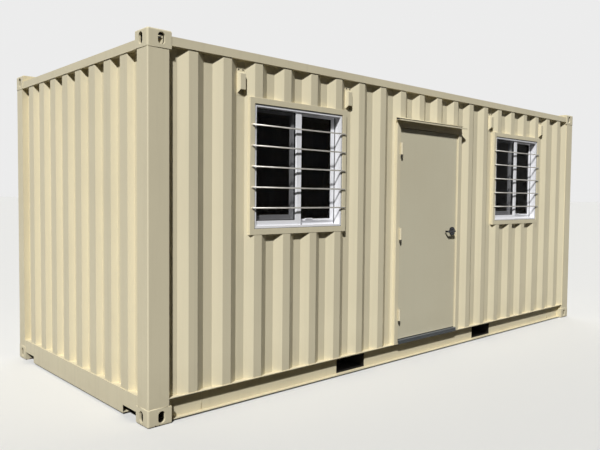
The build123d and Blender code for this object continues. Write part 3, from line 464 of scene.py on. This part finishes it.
def bare_metal(name, colour, tarnished, roughness, grain_mm=2, drawn_out=(1, 1, 1)):
    """Bare or plated metal: its own colour in every reflection, broken up by a fine grain along the piece."""
    material, tree, place = start_material(name)
    stretched = add_node(
        tree,
        "ShaderNodeMapping",
        values={"Scale": [1 / share for share in drawn_out]},
        links={"Vector": place},
    )
    grain = add_node(
        tree,
        "ShaderNodeTexNoise",
        values={"Scale": across(grain_mm), "Detail": 4.0},
        links={"Vector": stretched.outputs["Vector"]},
    )
    patches = add_node(
        tree, "ShaderNodeTexNoise", values={"Scale": across(60), "Detail": 4.0}, links={"Vector": place}
    )
    tint = lay_over(tree, colour, linear(tarnished), patches.outputs["Fac"], start=0.35, end=0.7)
    end_material(
        tree,
        colour=tint,
        gloss=grain.outputs["Fac"],
        roughness=(roughness, roughness + 0.15),
        relief=grain.outputs["Fac"],
        strength=0.5,
        depth_mm=0.05,
        values={"Metallic": 1.0},
    )
    return material


def scuffed_and_highlit_aluminium(name, highlight_level):
    """Mill finish aluminium strip: grey from wear along its length, with a painted highlight along its top
    edge.
    """
    material, tree, place = start_material(name)
    drawn_out = add_node(tree, "ShaderNodeMapping", values={"Scale": (1 / 40, 1, 1)}, links={"Vector": place})
    scratches = add_node(
        tree,
        "ShaderNodeTexNoise",
        values={"Scale": across(3), "Detail": 5.0},
        links={"Vector": drawn_out.outputs["Vector"]},
    )
    grey = lay_over(tree, colours().threshold_grey, linear("3E4245"), scratches.outputs["Fac"])
    level = add_node(tree, "ShaderNodeSeparateXYZ", links={"Vector": place}).outputs["Z"]
    # The top 5 mm is lightened: a painted highlight where the lamp catches the strip's top
    strip = lay_over(tree, grey, linear("A8ACB4"), level, start=highlight_level - 5 * MM, end=highlight_level, most=0.7)
    end_material(
        tree,
        colour=strip,
        gloss=scratches.outputs["Fac"],
        roughness=(0.34, 0.5),
        relief=scratches.outputs["Fac"],
        strength=0.5,
        depth_mm=0.05,
        values={"Metallic": 1.0},
    )
    return material


def epdm_rubber(name):
    """EPDM extrusion: matt black, greyed by dust."""
    material, tree, place = start_material(name)
    film = add_node(
        tree, "ShaderNodeTexNoise", values={"Scale": across(25), "Detail": 4.0}, links={"Vector": place}
    )
    black = lay_over(
        tree, colours().rubber, linear("3B3A38"), film.outputs["Fac"], start=0.4, end=0.75, most=0.5
    )
    grain = add_node(
        tree, "ShaderNodeTexNoise", values={"Scale": across(4), "Detail": 3.0}, links={"Vector": place}
    )
    end_material(
        tree,
        colour=black,
        gloss=grain.outputs["Fac"],
        roughness=(0.6, 0.8),
        relief=grain.outputs["Fac"],
        strength=0.5,
        depth_mm=0.08,
        values={"IOR": 1.5, "Specular IOR Level": 0.3},
    )
    return material


def oiled_plywood(name):
    """Oiled hardwood plywood in 2440 by 1220 boards: brown, with a long open grain and dark joints."""
    material, tree, place = start_material(name)
    long_grain = add_node(
        tree, "ShaderNodeMapping", values={"Scale": (1 / 40, 1, 1)}, links={"Vector": place}
    )
    pores = add_node(
        tree,
        "ShaderNodeTexNoise",
        values={"Scale": across(9), "Detail": 8.0},
        links={"Vector": long_grain.outputs["Vector"]},
    )
    wood = lay_over(tree, colours().plywood, linear("5C3E27"), pores.outputs["Fac"], start=0.35, end=0.7)
    figure = add_node(
        tree,
        "ShaderNodeTexNoise",
        values={"Scale": across(70), "Detail": 4.0},
        links={"Vector": long_grain.outputs["Vector"]},
    )
    wood = lay_over(tree, wood, linear("946D49"), figure.outputs["Fac"], start=0.4, end=0.7, most=0.6)
    boards = add_node(
        tree,
        "ShaderNodeTexBrick",
        values={"Scale": 1.0, "Mortar Size": 0.003, "Brick Width": 2.44, "Row Height": 1.22},
        links={"Vector": place},
    )
    wood = lay_over(tree, wood, linear("2A1D13"), boards.outputs["Fac"])
    end_material(
        tree,
        colour=wood,
        gloss=pores.outputs["Fac"],
        roughness=(0.5, 0.75),
        relief=pores.outputs["Fac"],
        strength=0.6,
        depth_mm=0.15,
        values={"IOR": 1.5},
    )
    return material


def seen_ray(tree):
    """1 where the background shows: to the camera, in a reflection or through a pane."""
    ray = add_node(tree, "ShaderNodeLightPath")
    seen = add_node(
        tree,
        "ShaderNodeMath",
        {"operation": "MAXIMUM"},
        links={0: ray.outputs["Is Camera Ray"], 1: ray.outputs["Is Glossy Ray"]},
    )
    seen = add_node(
        tree,
        "ShaderNodeMath",
        {"operation": "MAXIMUM"},
        links={0: seen.outputs[0], 1: ray.outputs["Is Transmission Ray"]},
    )
    return seen.outputs[0]


def studio_floor_paint(name):
    """Matt floor paint, pale where it is seen and dull where it only throws light back."""
    material, tree, _ = start_material(name)
    colour = lay_over(tree, linear("1E1C18"), colours().stage, seen_ray(tree))
    shader = add_node(tree, "ShaderNodeBsdfDiffuse", links={"Color": colour})
    add_node(tree, "ShaderNodeOutputMaterial", links={"Surface": shader.outputs["BSDF"]})
    return material


FINISHES = {}


def new_piece(name, mesh, finish_name, body="cabin", smooth=False):
    """Turn a bmesh into a finished piece that rides on a body."""
    bmesh.ops.recalc_face_normals(mesh, faces=mesh.faces)
    for face in mesh.faces:
        face.smooth = smooth
    data = bpy.data.meshes.new(name)
    mesh.to_mesh(data)
    mesh.free()
    data.materials.append(FINISHES[finish_name])
    piece = bpy.data.objects.new(name, data)
    bpy.context.scene.collection.objects.link(piece)
    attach(piece, body)
    return piece


def merged_copy(node):
    """A copy of a steel piece's mesh with its loose triangles joined."""
    mesh = bmesh.new()
    mesh.from_mesh(frame["nodes"][node].data)
    bmesh.ops.remove_doubles(mesh, verts=mesh.verts, dist=0.01 * MM)
    return mesh


def cut_back(mesh, corners, depth, width):
    """Cut the upright front edges at the given places, seen from above, back to a slanting flat."""
    for x, y in corners:
        edge = next(e for e in mesh.edges if all((v.co.xy - Vector((x, y))).length < NEAR for v in e.verts))
        bmesh.ops.bevel(
            mesh, geom=[edge], offset=depth, segments=1, profile=0.5, affect="EDGES", material=-1
        )
        for vert in mesh.verts:
            if (vert.co.xy - Vector((x + depth, y))).length < NEAR:
                vert.co.x = x + width


def round_rim(mesh, node, radius):
    """Round the outer edges of the castings where they are the cabin's very top or bottom."""
    low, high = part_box(node)
    level = high[2] if high[2] > CAD_HIGH[2] - NEAR else low[2]

    def on_rim(vert):
        in_x, in_y = high[0] - abs(vert.co.x), high[1] - abs(vert.co.y)
        outside = min(in_x, in_y) < NEAR or max(in_x, in_y) < CASTING_UPRIGHT_RADIUS + NEAR
        return outside and abs(vert.co.z - level) < NEAR

    rim = [e for e in mesh.edges if all(map(on_rim, e.verts)) and e.calc_face_angle(0) > SHARP]
    bmesh.ops.bevel(mesh, geom=rim, offset=radius, segments=4, profile=0.5, affect="EDGES", material=-1)


def soften(node, edge, shape=None):
    """Let a copy with rounded edges, shaped first if need be, stand for a steel piece."""
    mesh = merged_copy(node)
    bmesh.ops.dissolve_limit(mesh, angle_limit=math.radians(1), verts=mesh.verts, edges=mesh.edges)
    if shape:
        shape(mesh)
    sharp = [e for e in mesh.edges if e.is_manifold and e.calc_face_angle() > SHARP]
    bmesh.ops.bevel(
        mesh,
        geom=sharp,
        offset=edge,
        segments=2,
        profile=0.5,
        affect="EDGES",
        material=-1,
        clamp_overlap=True,
    )
    bmesh.ops.triangulate(mesh, faces=mesh.faces)
    # A bevel on a round edge can stand a hair outside, so the copy is held in the piece's own box
    low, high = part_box(node)
    for vert in mesh.verts:
        vert.co = [min(max(vert.co[i], low[i]), high[i]) for i in range(3)]
    finish_name = NODE_FINISHES.get(node, "wall_enamel")
    body = next(name for name, nodes in frame["record"]["behaviour"]["bodies"].items() if node in nodes)
    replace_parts(new_piece(f"{node}_rounded", mesh, finish_name, body), node)


def rod(mesh, start, end, radius, segments=16):
    """Add a round rod between two points."""
    start, end = Vector(start), Vector(end)
    turn = (end - start).to_track_quat("Z", "Y").to_matrix().to_4x4()
    bmesh.ops.create_cone(
        mesh,
        cap_ends=True,
        segments=segments,
        radius1=radius,
        radius2=radius,
        depth=(end - start).length,
        matrix=Matrix.Translation((start + end) / 2) @ turn,
    )


def dome(mesh, place, direction, radius, rise):
    """Add a low round head that stands on a face."""
    turn = Vector(direction).to_track_quat("Z", "Y").to_matrix().to_4x4()
    flat = Matrix.Diagonal((1, 1, rise / radius, 1))
    bmesh.ops.create_uvsphere(
        mesh, u_segments=12, v_segments=6, radius=radius, matrix=Matrix.Translation(place) @ turn @ flat
    )


def bolt_head(mesh, place, direction, radius, rise):
    """Add a hexagonal head that stands on a face."""
    place, direction = Vector(place), Vector(direction)
    rod(mesh, place, place + direction * rise, radius, segments=6)


def block(mesh, centre, size, edge):
    """Add a block with softened edges."""
    matrix = Matrix.Translation(centre) @ Matrix.Diagonal((*size, 1))
    made = bmesh.ops.create_cube(mesh, size=1.0, matrix=matrix)
    edges = list({e for vert in made["verts"] for e in vert.link_edges})
    bmesh.ops.bevel(mesh, geom=edges, offset=edge, segments=2, profile=0.5, affect="EDGES", material=-1)


def ring(mesh, low, high, band, front, back):
    """Add a rectangular ring round the inside of an upright rectangle, from its front to its back."""
    corners = ((low.x, low.z), (high.x, low.z), (high.x, high.z), (low.x, high.z))
    face = mesh.faces.new([mesh.verts.new((x, front, z)) for x, z in corners])
    face.normal_update()
    border = bmesh.ops.inset_individual(mesh, faces=[face], thickness=band, use_even_offset=True)["faces"]
    bmesh.ops.delete(mesh, geom=[face], context="FACES")
    kept = border + list({e for quad in border for e in quad.edges})
    made = bmesh.ops.extrude_face_region(mesh, geom=kept, use_keep_orig=True)["geom"]
    verts = [item for item in made if isinstance(item, bmesh.types.BMVert)]
    bmesh.ops.translate(mesh, verts=verts, vec=(0, back - front, 0))


def aim(heading_degrees, rise_degrees):
    """The way of a heading, clockwise from +Y as seen from above, and of a rise above the ground."""
    heading, rise = math.radians(heading_degrees), math.radians(rise_degrees)
    return Vector((math.sin(heading) * math.cos(rise), math.cos(heading) * math.cos(rise), math.sin(rise)))


def islands(node):
    """The lowest and highest corners of a steel piece's separate solids, from left to right."""
    mesh = merged_copy(node)
    left, boxes = set(mesh.verts), []
    while left:
        group, edge = set(), [left.pop()]
        while edge:
            vert = edge.pop()
            group.add(vert)
            for other in (e.other_vert(vert) for e in vert.link_edges):
                if other in left:
                    left.discard(other)
                    edge.append(other)
        low = Vector([min(v.co[i] for v in group) for i in range(3)])
        high = Vector([max(v.co[i] for v in group) for i in range(3)])
        boxes.append((low, high))
    mesh.free()
    return sorted(boxes, key=lambda box: tuple(round(c, 3) for c in box[0]))


def casting_hollow_shade_box():
    """The cabin's middle, a casting's middle as seen from there, and half the size of its inside, which gets
    painted shade.
    """
    low, high = islands("bottom_corner_castings")[0]
    middle = Vector((0, 0, CAD_HIGH[2] / 2))
    centre = Vector([abs(share) for share in (low + high) / 2 - middle])
    return middle, centre, (high - low) / 2 - Vector([CASTING_UNSHADED_DEPTH] * 3)


NODE_FINISHES = {
    "floor": "plywood",
    "window_casings": "window_white",
    "left_sashes": "window_white",
    "right_sashes": "window_white",
    "window_glass": "glass",
    "door_threshold": "threshold",
    "handle_roses": "dark_chrome",
    "lever_handle": "dark_chrome",
    "lock_face_plate": "zinc",
    "door_leaf": "door_enamel",
    "frame_hinge_halves": "hinge_enamel",
    "leaf_hinge_halves": "hinge_enamel",
    "bottom_corner_castings": "casting_enamel",
    "top_corner_castings": "casting_enamel",
    "front_bottom_rail": "rail_enamel",
    "back_bottom_rail": "rail_enamel",
    "left_bottom_rail": "rail_enamel",
    "cargo_door_sill": "rail_enamel",
    "fork_pockets": "underseal",
    "floor_cross_members": "underseal",
    "cargo_lock_rods": "zinc",
    "cargo_rod_guides": "zinc",
    "cargo_cam_keepers": "zinc",
    "cargo_handles": "zinc",
    "cargo_handle_catches": "zinc",
}


class CABIN_OT_finishes(bpy.types.Operator):
    """Make the finishes and give each steel piece its own"""

    bl_idname = "cabin.finishes"
    bl_label = "Finishes"

    def execute(self, context):
        c = colours()
        joints = {joint["name"]: joint for joint in frame["record"]["behaviour"]["joints"]}
        axis_x, axis_y, _ = joints["door_hinge"]["pos_m"]
        FINISHES.update(
            wall_enamel=alkyd_enamel("wall_alkyd_enamel", c.cream),
            rail_enamel=alkyd_enamel("rail_alkyd_enamel", c.cream, dust_top_mm=220, dust=0.2, chip_and_shade_top_mm=16),
            # The door leaf gets the cream darkened as painted shade, and fewer rain runs
            door_enamel=alkyd_enamel("door_painted_shade_enamel", c.shaded_door_cream, rain=0.03),
            casting_enamel=alkyd_enamel(
                "casting_alkyd_enamel",
                c.cream,
                dust_top_mm=160,
                chip_and_shade_top_mm=19,
                pocket=casting_hollow_shade_box(),
            ),
            hinge_enamel=hinge_enamel("hinge_alkyd_enamel", axis_x, axis_y),
            underseal=bitumen_underseal("underframe_bitumen"),
            window_white=polyester_powder_coat("window_powder_coat"),
            glass=tinted_float_glass("window_float_glass"),
            bar_steel=bare_metal(
                "bar_galvanised_steel", c.bar_grey, "A6A39D", roughness=0.45, grain_mm=3, drawn_out=(12, 1, 1)
            ),
            threshold=scuffed_and_highlit_aluminium("threshold_mill_aluminium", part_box("door_threshold")[1][2]),
            dark_chrome=bare_metal("handle_dark_chrome", c.dark_chrome, "303238", roughness=0.14),
            zinc=bare_metal("fastener_zinc_plate", c.zinc, "8C8E90", roughness=0.35),
            rivet_steel=bare_metal("rivet_painted_shade_steel", c.rivet_hole_shade_black, "191613", roughness=0.5),
            rubber=epdm_rubber("seal_epdm_rubber"),
            plywood=oiled_plywood("floor_oiled_plywood"),
        )
        for node, piece in frame["nodes"].items():
            piece.data.materials.clear()
            piece.data.materials.append(FINISHES[NODE_FINISHES.get(node, "wall_enamel")])
        return {"FINISHED"}


class CABIN_OT_rounded_steel(bpy.types.Operator):
    """Round the edges of the castings, the tubes and the aluminium profiles"""

    bl_idname = "cabin.rounded_steel"
    bl_label = "Rounded edges"

    def execute(self, context):
        size = sizes()
        rounded = (
            (size.tube_edge, ("window_surrounds", "door_jambs", "door_header")),
            (size.profile_edge, ("window_casings", "right_sashes")),
        )
        for edge, nodes in rounded:
            for node in nodes:
                soften(node, edge)
        for node in ("bottom_corner_castings", "top_corner_castings"):
            soften(node, size.casting_edge, lambda mesh: round_rim(mesh, node, size.casting_rim))
        # The stile is cut back beside the fixed pane, and leaves a ledge of 0.5 mm before the glass
        deepest_setting, ledge = 20 * MM, 0.5 * MM
        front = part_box("left_sashes")[0][1]
        panes = [(low, high) for low, high in islands("window_glass") if low.y < front + deepest_setting]
        depth = panes[0][0].y - front - ledge
        beside = [(high.x, front) for low, high in panes]
        soften(
            "left_sashes", size.profile_edge, lambda mesh: cut_back(mesh, beside, depth, size.stile_cut)
        )
        return {"FINISHED"}


class CABIN_OT_window_bars(bpy.types.Operator):
    """Weld the round bars across both windows"""

    bl_idname = "cabin.window_bars"
    bl_label = "Window bars"

    def execute(self, context):
        size = sizes()
        radius = size.bar_diameter / 2
        bars, tacks = bmesh.new(), bmesh.new()
        for low, high in islands("window_surrounds"):
            middle = (low + high) / 2
            for n in range(size.bar_count):
                level = middle.z + size.bar_pitch * (n - (size.bar_count - 1) / 2)
                reach = Vector((size.bar_length / 2, 0, 0))
                axis = Vector((middle.x, low.y - radius, level))
                ends = (axis - reach, axis + reach)
                rod(bars, *ends, radius, segments=20)
                for end in ends:
                    dome(tacks, (end.x, low.y, level), (0, -1, 0), size.tack_radius, size.tack_radius / 2)
        new_piece("window_bars", bars, "bar_steel", smooth=True)
        new_piece("window_bar_tacks", tacks, "wall_enamel", smooth=True)
        return {"FINISHED"}


class CABIN_OT_glazing(bpy.types.Operator):
    """Seal the panes and the casings, lay a black strip of painted shade along the drip cap, and fit a latch
    to each sliding sash
    """

    bl_idname = "cabin.glazing"
    bl_label = "Glazing"

    def execute(self, context):
        size = sizes()
        gaskets, seals_and_shade_strip, latches = bmesh.new(), bmesh.new(), bmesh.new()
        for low, high in islands("window_glass"):
            ring(gaskets, low, high, size.gasket_face, low.y - size.gasket_rise, low.y)
            ring(gaskets, low, high, size.gasket_face, high.y, high.y + size.gasket_rise)
        for low, high in islands("window_casings"):
            ring(seals_and_shade_strip, low, high, size.seal_face, low.y - size.seal_rise, low.y)
        latch_from_side, latch_from_base, latch_edge = 192 * MM, 41 * MM, 2 * MM
        strip_depth, strip_edge = 3 * MM, 0.5 * MM
        for low, high in islands("right_sashes"):
            centre = (low.x + latch_from_side, low.y - size.latch_depth / 2, low.z + latch_from_base)
            block(latches, centre, (size.latch_length, size.latch_depth, size.latch_height), latch_edge)
            centre = (high.x - size.strip_face / 2, low.y - strip_depth / 2, (low.z + high.z) / 2)
            block(seals_and_shade_strip, centre, (size.strip_face, strip_depth, high.z - low.z), strip_edge)
        # A black rubber strip fills the gap between the drip cap and the bar over it: a dark sheet standing
        # for the shade there
        shade_strip_from_end, shade_strip_from_header = 12 * MM, 5 * MM
        shade_strip_depth, shade_strip_proud, shade_strip_edge = 9 * MM, 7.5 * MM, 1 * MM
        (left, _, _), (right, _, _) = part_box("drip_cap")
        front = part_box("front_wall_over_door")[0][1] - shade_strip_proud
        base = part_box("door_header")[1][2] + shade_strip_from_header
        centre = ((left + right) / 2, front + shade_strip_depth / 2, base + size.shade_strip_rise / 2)
        length = right - left - 2 * shade_strip_from_end
        block(seals_and_shade_strip, centre, (length, shade_strip_depth, size.shade_strip_rise), shade_strip_edge)
        new_piece("glazing_gaskets", gaskets, "rubber")
        new_piece("casing_seals_and_cap_shade_strip", seals_and_shade_strip, "rubber")
        new_piece("sash_latches", latches, "window_white")
        return {"FINISHED"}


class CABIN_OT_vent_rivets(bpy.types.Operator):
    """Rivet the ventilator plates to the wall"""

    bl_idname = "cabin.vent_rivets"
    bl_label = "Ventilator rivets"

    def execute(self, context):
        radius, rise = sizes().rivet_radius, 2.5 * MM
        plate_steel, from_side, from_top = 2 * MM, 14 * MM, 25 * MM
        mesh = bmesh.new()
        for low, high in islands("vent_hoods"):
            for x in (low.x + from_side, high.x - from_side):
                # The heads are near black: painted shade for the rivets' holes
                dome(mesh, (x, high.y - plate_steel, high.z - from_top), (0, -1, 0), radius, rise)
        new_piece("vent_rivets", mesh, "rivet_steel", smooth=True)
        return {"FINISHED"}


class CABIN_OT_frame_welds(bpy.types.Operator):
    """Lay the weld beads on the posts, the bottom side rails and the bar over the drip cap"""

    bl_idname = "cabin.frame_welds"
    bl_label = "Frame welds"

    def execute(self, context):
        radius, sides = sizes().weld_radius, 8
        mesh = bmesh.new()
        from_edge = 9 * MM
        for node in ("left_end_posts", "right_end_posts"):
            for low, high in islands(node):
                outer_y = low.y if low.y < 0 else high.y
                outer_x = low.x if low.x < 0 else high.x
                left, right = low.x + from_edge, high.x - from_edge
                near, far = low.y + from_edge, high.y - from_edge
                for level in (low.z, high.z):
                    rod(mesh, (left, outer_y, level), (right, outer_y, level), radius, sides)
                    rod(mesh, (outer_x, near, level), (outer_x, far, level), radius, sides)
        # The rails' webs are joined 470 mm from each end of the container
        joint_from_end, web_steel, from_flange = 470 * MM, 4.5 * MM, 8 * MM
        (_, _, base), (_, back, top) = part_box("front_bottom_rail")
        base, web, top = base + from_flange, back - web_steel, top - from_flange
        for side in (-1, 1):
            joint_x = side * (CAD_HIGH[0] - joint_from_end)
            for face in (web, -web):
                rod(mesh, (joint_x, face, base), (joint_x, face, top), radius, sides)
        # The bar over the drip cap is welded to the ridges of the wall along its top
        bead_radius, bead_proud, bead_over_cap = 1.5 * radius, 3 * MM, 1 * MM
        (start, _, _), (end, _, level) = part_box("drip_cap")
        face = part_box("front_wall_over_door")[0][1] - bead_proud
        level += bead_over_cap
        rod(mesh, (start, face, level), (end, face, level), bead_radius, sides)
        new_piece("frame_welds", mesh, "rail_enamel", smooth=True)
        return {"FINISHED"}


class CABIN_OT_cargo_seals(bpy.types.Operator):
    """Press the seals into the gaps round the cargo doors"""

    bl_idname = "cabin.cargo_seals"
    bl_label = "Cargo door seals"

    def execute(self, context):
        depth = sizes().seal_depth
        mesh = bmesh.new()
        (_, near_y, base), (face, _, top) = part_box("cargo_door_left")
        far_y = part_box("cargo_door_right")[1][1]
        sill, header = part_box("cargo_door_sill")[1][2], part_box("cargo_door_header")[0][2]
        gap = base - sill
        clearance, set_back, edge = 1 * MM, 5 * MM, 1 * MM
        width, middle = gap - clearance, face - set_back - depth / 2
        for seal_y in (near_y - gap / 2, 0, far_y + gap / 2):
            centre = (middle, seal_y, (sill + header) / 2)
            block(mesh, centre, (depth, width, header - sill - clearance), edge)
        for level in (base - gap / 2, top + gap / 2):
            block(mesh, (middle, (near_y + far_y) / 2, level), (depth, far_y - near_y, width), edge)
        new_piece("cargo_door_seals", mesh, "rubber")
        return {"FINISHED"}


class CABIN_OT_cargo_bolts(bpy.types.Operator):
    """Bolt the rod guides and the hinge blades to the cargo doors"""

    bl_idname = "cabin.cargo_bolts"
    bl_label = "Cargo door bolts"

    def execute(self, context):
        radius, rise = sizes().bolt_radius, 5 * MM
        from_edge, blade_steel = 9 * MM, 8 * MM
        mesh = bmesh.new()
        for low, high in islands("cargo_rod_guides"):
            for y in (low.y + from_edge, high.y - from_edge):
                bolt_head(mesh, (high.x, y, (low.z + high.z) / 2), (1, 0, 0), radius, rise)
        blade_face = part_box("cargo_door_left")[1][0] + blade_steel
        from_tip, off_middle = (22 * MM, 62 * MM), (24 * MM, -24 * MM)
        for low, high in islands("cargo_hinge_blades"):
            outward, tip = (1, low.y) if low.y > 0 else (-1, high.y)
            for off_y in from_tip:
                for off_z in off_middle:
                    place = (blade_face, tip + outward * off_y, (low.z + high.z) / 2 + off_z)
                    bolt_head(mesh, place, (1, 0, 0), radius, rise)
        new_piece("cargo_door_bolts", mesh, "zinc")
        return {"FINISHED"}


class CABIN_OT_screws(bpy.types.Operator):
    """Screw the floor to its cross members and the face plate to the lock"""

    bl_idname = "cabin.screws"
    bl_label = "Screws"

    def execute(self, context):
        size = sizes()
        floor_low, floor_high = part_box("floor")
        floor_screws, lock_screws = bmesh.new(), bmesh.new()
        rows = int((floor_high[1] - floor_low[1]) // size.screw_pitch)
        sunk, proud = floor_high[2] - 1 * MM, floor_high[2] + 0.4 * MM
        for low, high in islands("floor_cross_members"):
            x = (low.x + high.x) / 2
            for n in range(rows):
                y = size.screw_pitch * (n - (rows - 1) / 2)
                rod(floor_screws, (x, y, sunk), (x, y, proud), size.screw_radius, segments=12)
        from_end, radius, rise = 12 * MM, 4 * MM, 1 * MM
        low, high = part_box("lock_face_plate")
        for level in (low[2] + from_end, high[2] - from_end):
            dome(lock_screws, (high[0], (low[1] + high[1]) / 2, level), (1, 0, 0), radius, rise)
        new_piece("floor_screws", floor_screws, "zinc")
        new_piece("lock_screws", lock_screws, "zinc", "door", smooth=True)
        return {"FINISHED"}


class CABIN_OT_stage(bpy.types.Operator):
    """Set the studio floor, the light and the camera"""

    bl_idname = "cabin.stage"
    bl_label = "Stage"

    def execute(self, context):
        scene = context.scene
        floor_reach = 400.0
        mesh = bmesh.new()
        bmesh.ops.create_grid(mesh, x_segments=1, y_segments=1, size=floor_reach)
        data = bpy.data.meshes.new("studio_floor")
        mesh.to_mesh(data)
        mesh.free()
        data.materials.append(studio_floor_paint("studio_floor_paint"))
        floor = bpy.data.objects.new("studio_floor", data)
        scene.collection.objects.link(floor)

        # One lamp, high on the front left as in the photo: 51 degrees left of straight in front
        key_light = bpy.data.lights.new("key_light", "SUN")
        key_light.energy = 3.85
        key_light.angle = math.radians(3)
        key = bpy.data.objects.new("key_light", key_light)
        key.rotation_euler = aim(180 + 51, 42).to_track_quat("Z", "Y").to_euler()
        scene.collection.objects.link(key)

        world = bpy.data.worlds.new("studio")
        scene.world = world
        world.use_nodes = True
        tree = world.node_tree
        tree.nodes.clear()
        # The fill comes from behind the cabin, so that its plain sides are not left in the dark
        fill_from, fill_narrowness, fill_strength, least_strength = (0.6, 0.8, 0.0), 4.0, 3.4, 0.012
        toward = add_node(tree, "ShaderNodeTexCoord").outputs["Generated"]
        share = add_node(
            tree, "ShaderNodeVectorMath", {"operation": "DOT_PRODUCT"}, {1: fill_from}, {0: toward}
        )
        share = add_node(
            tree, "ShaderNodeMath", {"operation": "MAXIMUM"}, {1: 0.0}, {0: share.outputs["Value"]}
        )
        share = add_node(
            tree, "ShaderNodeMath", {"operation": "POWER"}, {1: fill_narrowness}, {0: share.outputs[0]}
        )
        strength = add_node(
            tree,
            "ShaderNodeMath",
            {"operation": "MULTIPLY_ADD"},
            {1: fill_strength, 2: least_strength},
            {0: share.outputs[0]},
        )
        fill = add_node(
            tree,
            "ShaderNodeBackground",
            values={"Color": linear("F2F1EE")},
            links={"Strength": strength.outputs[0]},
        )
        white = add_node(tree, "ShaderNodeBackground", values={"Color": (1, 1, 1, 1), "Strength": 0.84})
        mix = add_node(
            tree, "ShaderNodeMixShader", links={0: seen_ray(tree), 1: fill.outputs[0], 2: white.outputs[0]}
        )
        add_node(tree, "ShaderNodeOutputWorld", links={"Surface": mix.outputs[0]})

        # The camera is fitted to the photo: its lens is 623.9 pixels long on a frame 600 wide
        lens_pixels, frame_pixels = 623.9, 600
        lens = bpy.data.cameras.new("camera")
        lens.sensor_fit = "HORIZONTAL"
        lens.sensor_width = 36.0
        lens.lens = lens.sensor_width * lens_pixels / frame_pixels
        lens.clip_end = 1000.0
        camera = bpy.data.objects.new("camera", lens)
        camera_place, forward, roll = (-4.999, -4.825, 1.521), aim(42.40, -2.58), math.radians(0.54)
        right = forward.cross(Vector((0, 0, 1))).normalized()
        up = right.cross(forward)
        rolled_right = math.cos(roll) * right + math.sin(roll) * up
        rolled_up = -math.sin(roll) * right + math.cos(roll) * up
        turn = Matrix((rolled_right, rolled_up, -forward)).transposed().to_4x4()
        camera.matrix_world = Matrix.Translation(camera_place) @ turn
        scene.collection.objects.link(camera)
        scene.camera = camera
        scene.view_settings.view_transform = "Standard"
        return {"FINISHED"}


STEPS = (
    CABIN_OT_finishes,
    CABIN_OT_rounded_steel,
    CABIN_OT_window_bars,
    CABIN_OT_glazing,
    CABIN_OT_vent_rivets,
    CABIN_OT_frame_welds,
    CABIN_OT_cargo_seals,
    CABIN_OT_cargo_bolts,
    CABIN_OT_screws,
    CABIN_OT_stage,
)


class CABIN_PT_sidebar(bpy.types.Panel):
    """Lists the steps that dress the cabin"""

    bl_label = "Container cabin"
    bl_idname = "CABIN_PT_sidebar"
    bl_space_type = "VIEW_3D"
    bl_region_type = "UI"
    bl_category = "Cabin"

    def draw(self, context):
        for step in STEPS:
            self.layout.operator(step.bl_idname)


CLASSES = (CabinSizes, CabinColours, *STEPS, CABIN_PT_sidebar)


def register():
    """Register the classes and the scene's settings."""
    for item in CLASSES:
        bpy.utils.register_class(item)
    bpy.types.Scene.cabin_sizes = bpy.props.PointerProperty(type=CabinSizes)
    bpy.types.Scene.cabin_colours = bpy.props.PointerProperty(type=CabinColours)


def unregister():
    """Take the classes and the scene's settings away again."""
    del bpy.types.Scene.cabin_colours
    del bpy.types.Scene.cabin_sizes
    for item in reversed(CLASSES):
        bpy.utils.unregister_class(item)


def main():
    """Dress the cabin."""
    register()
    for step in STEPS:
        group, name = step.bl_idname.split(".")
        getattr(getattr(bpy.ops, group), name)()


if __name__ == "__main__":
    main()
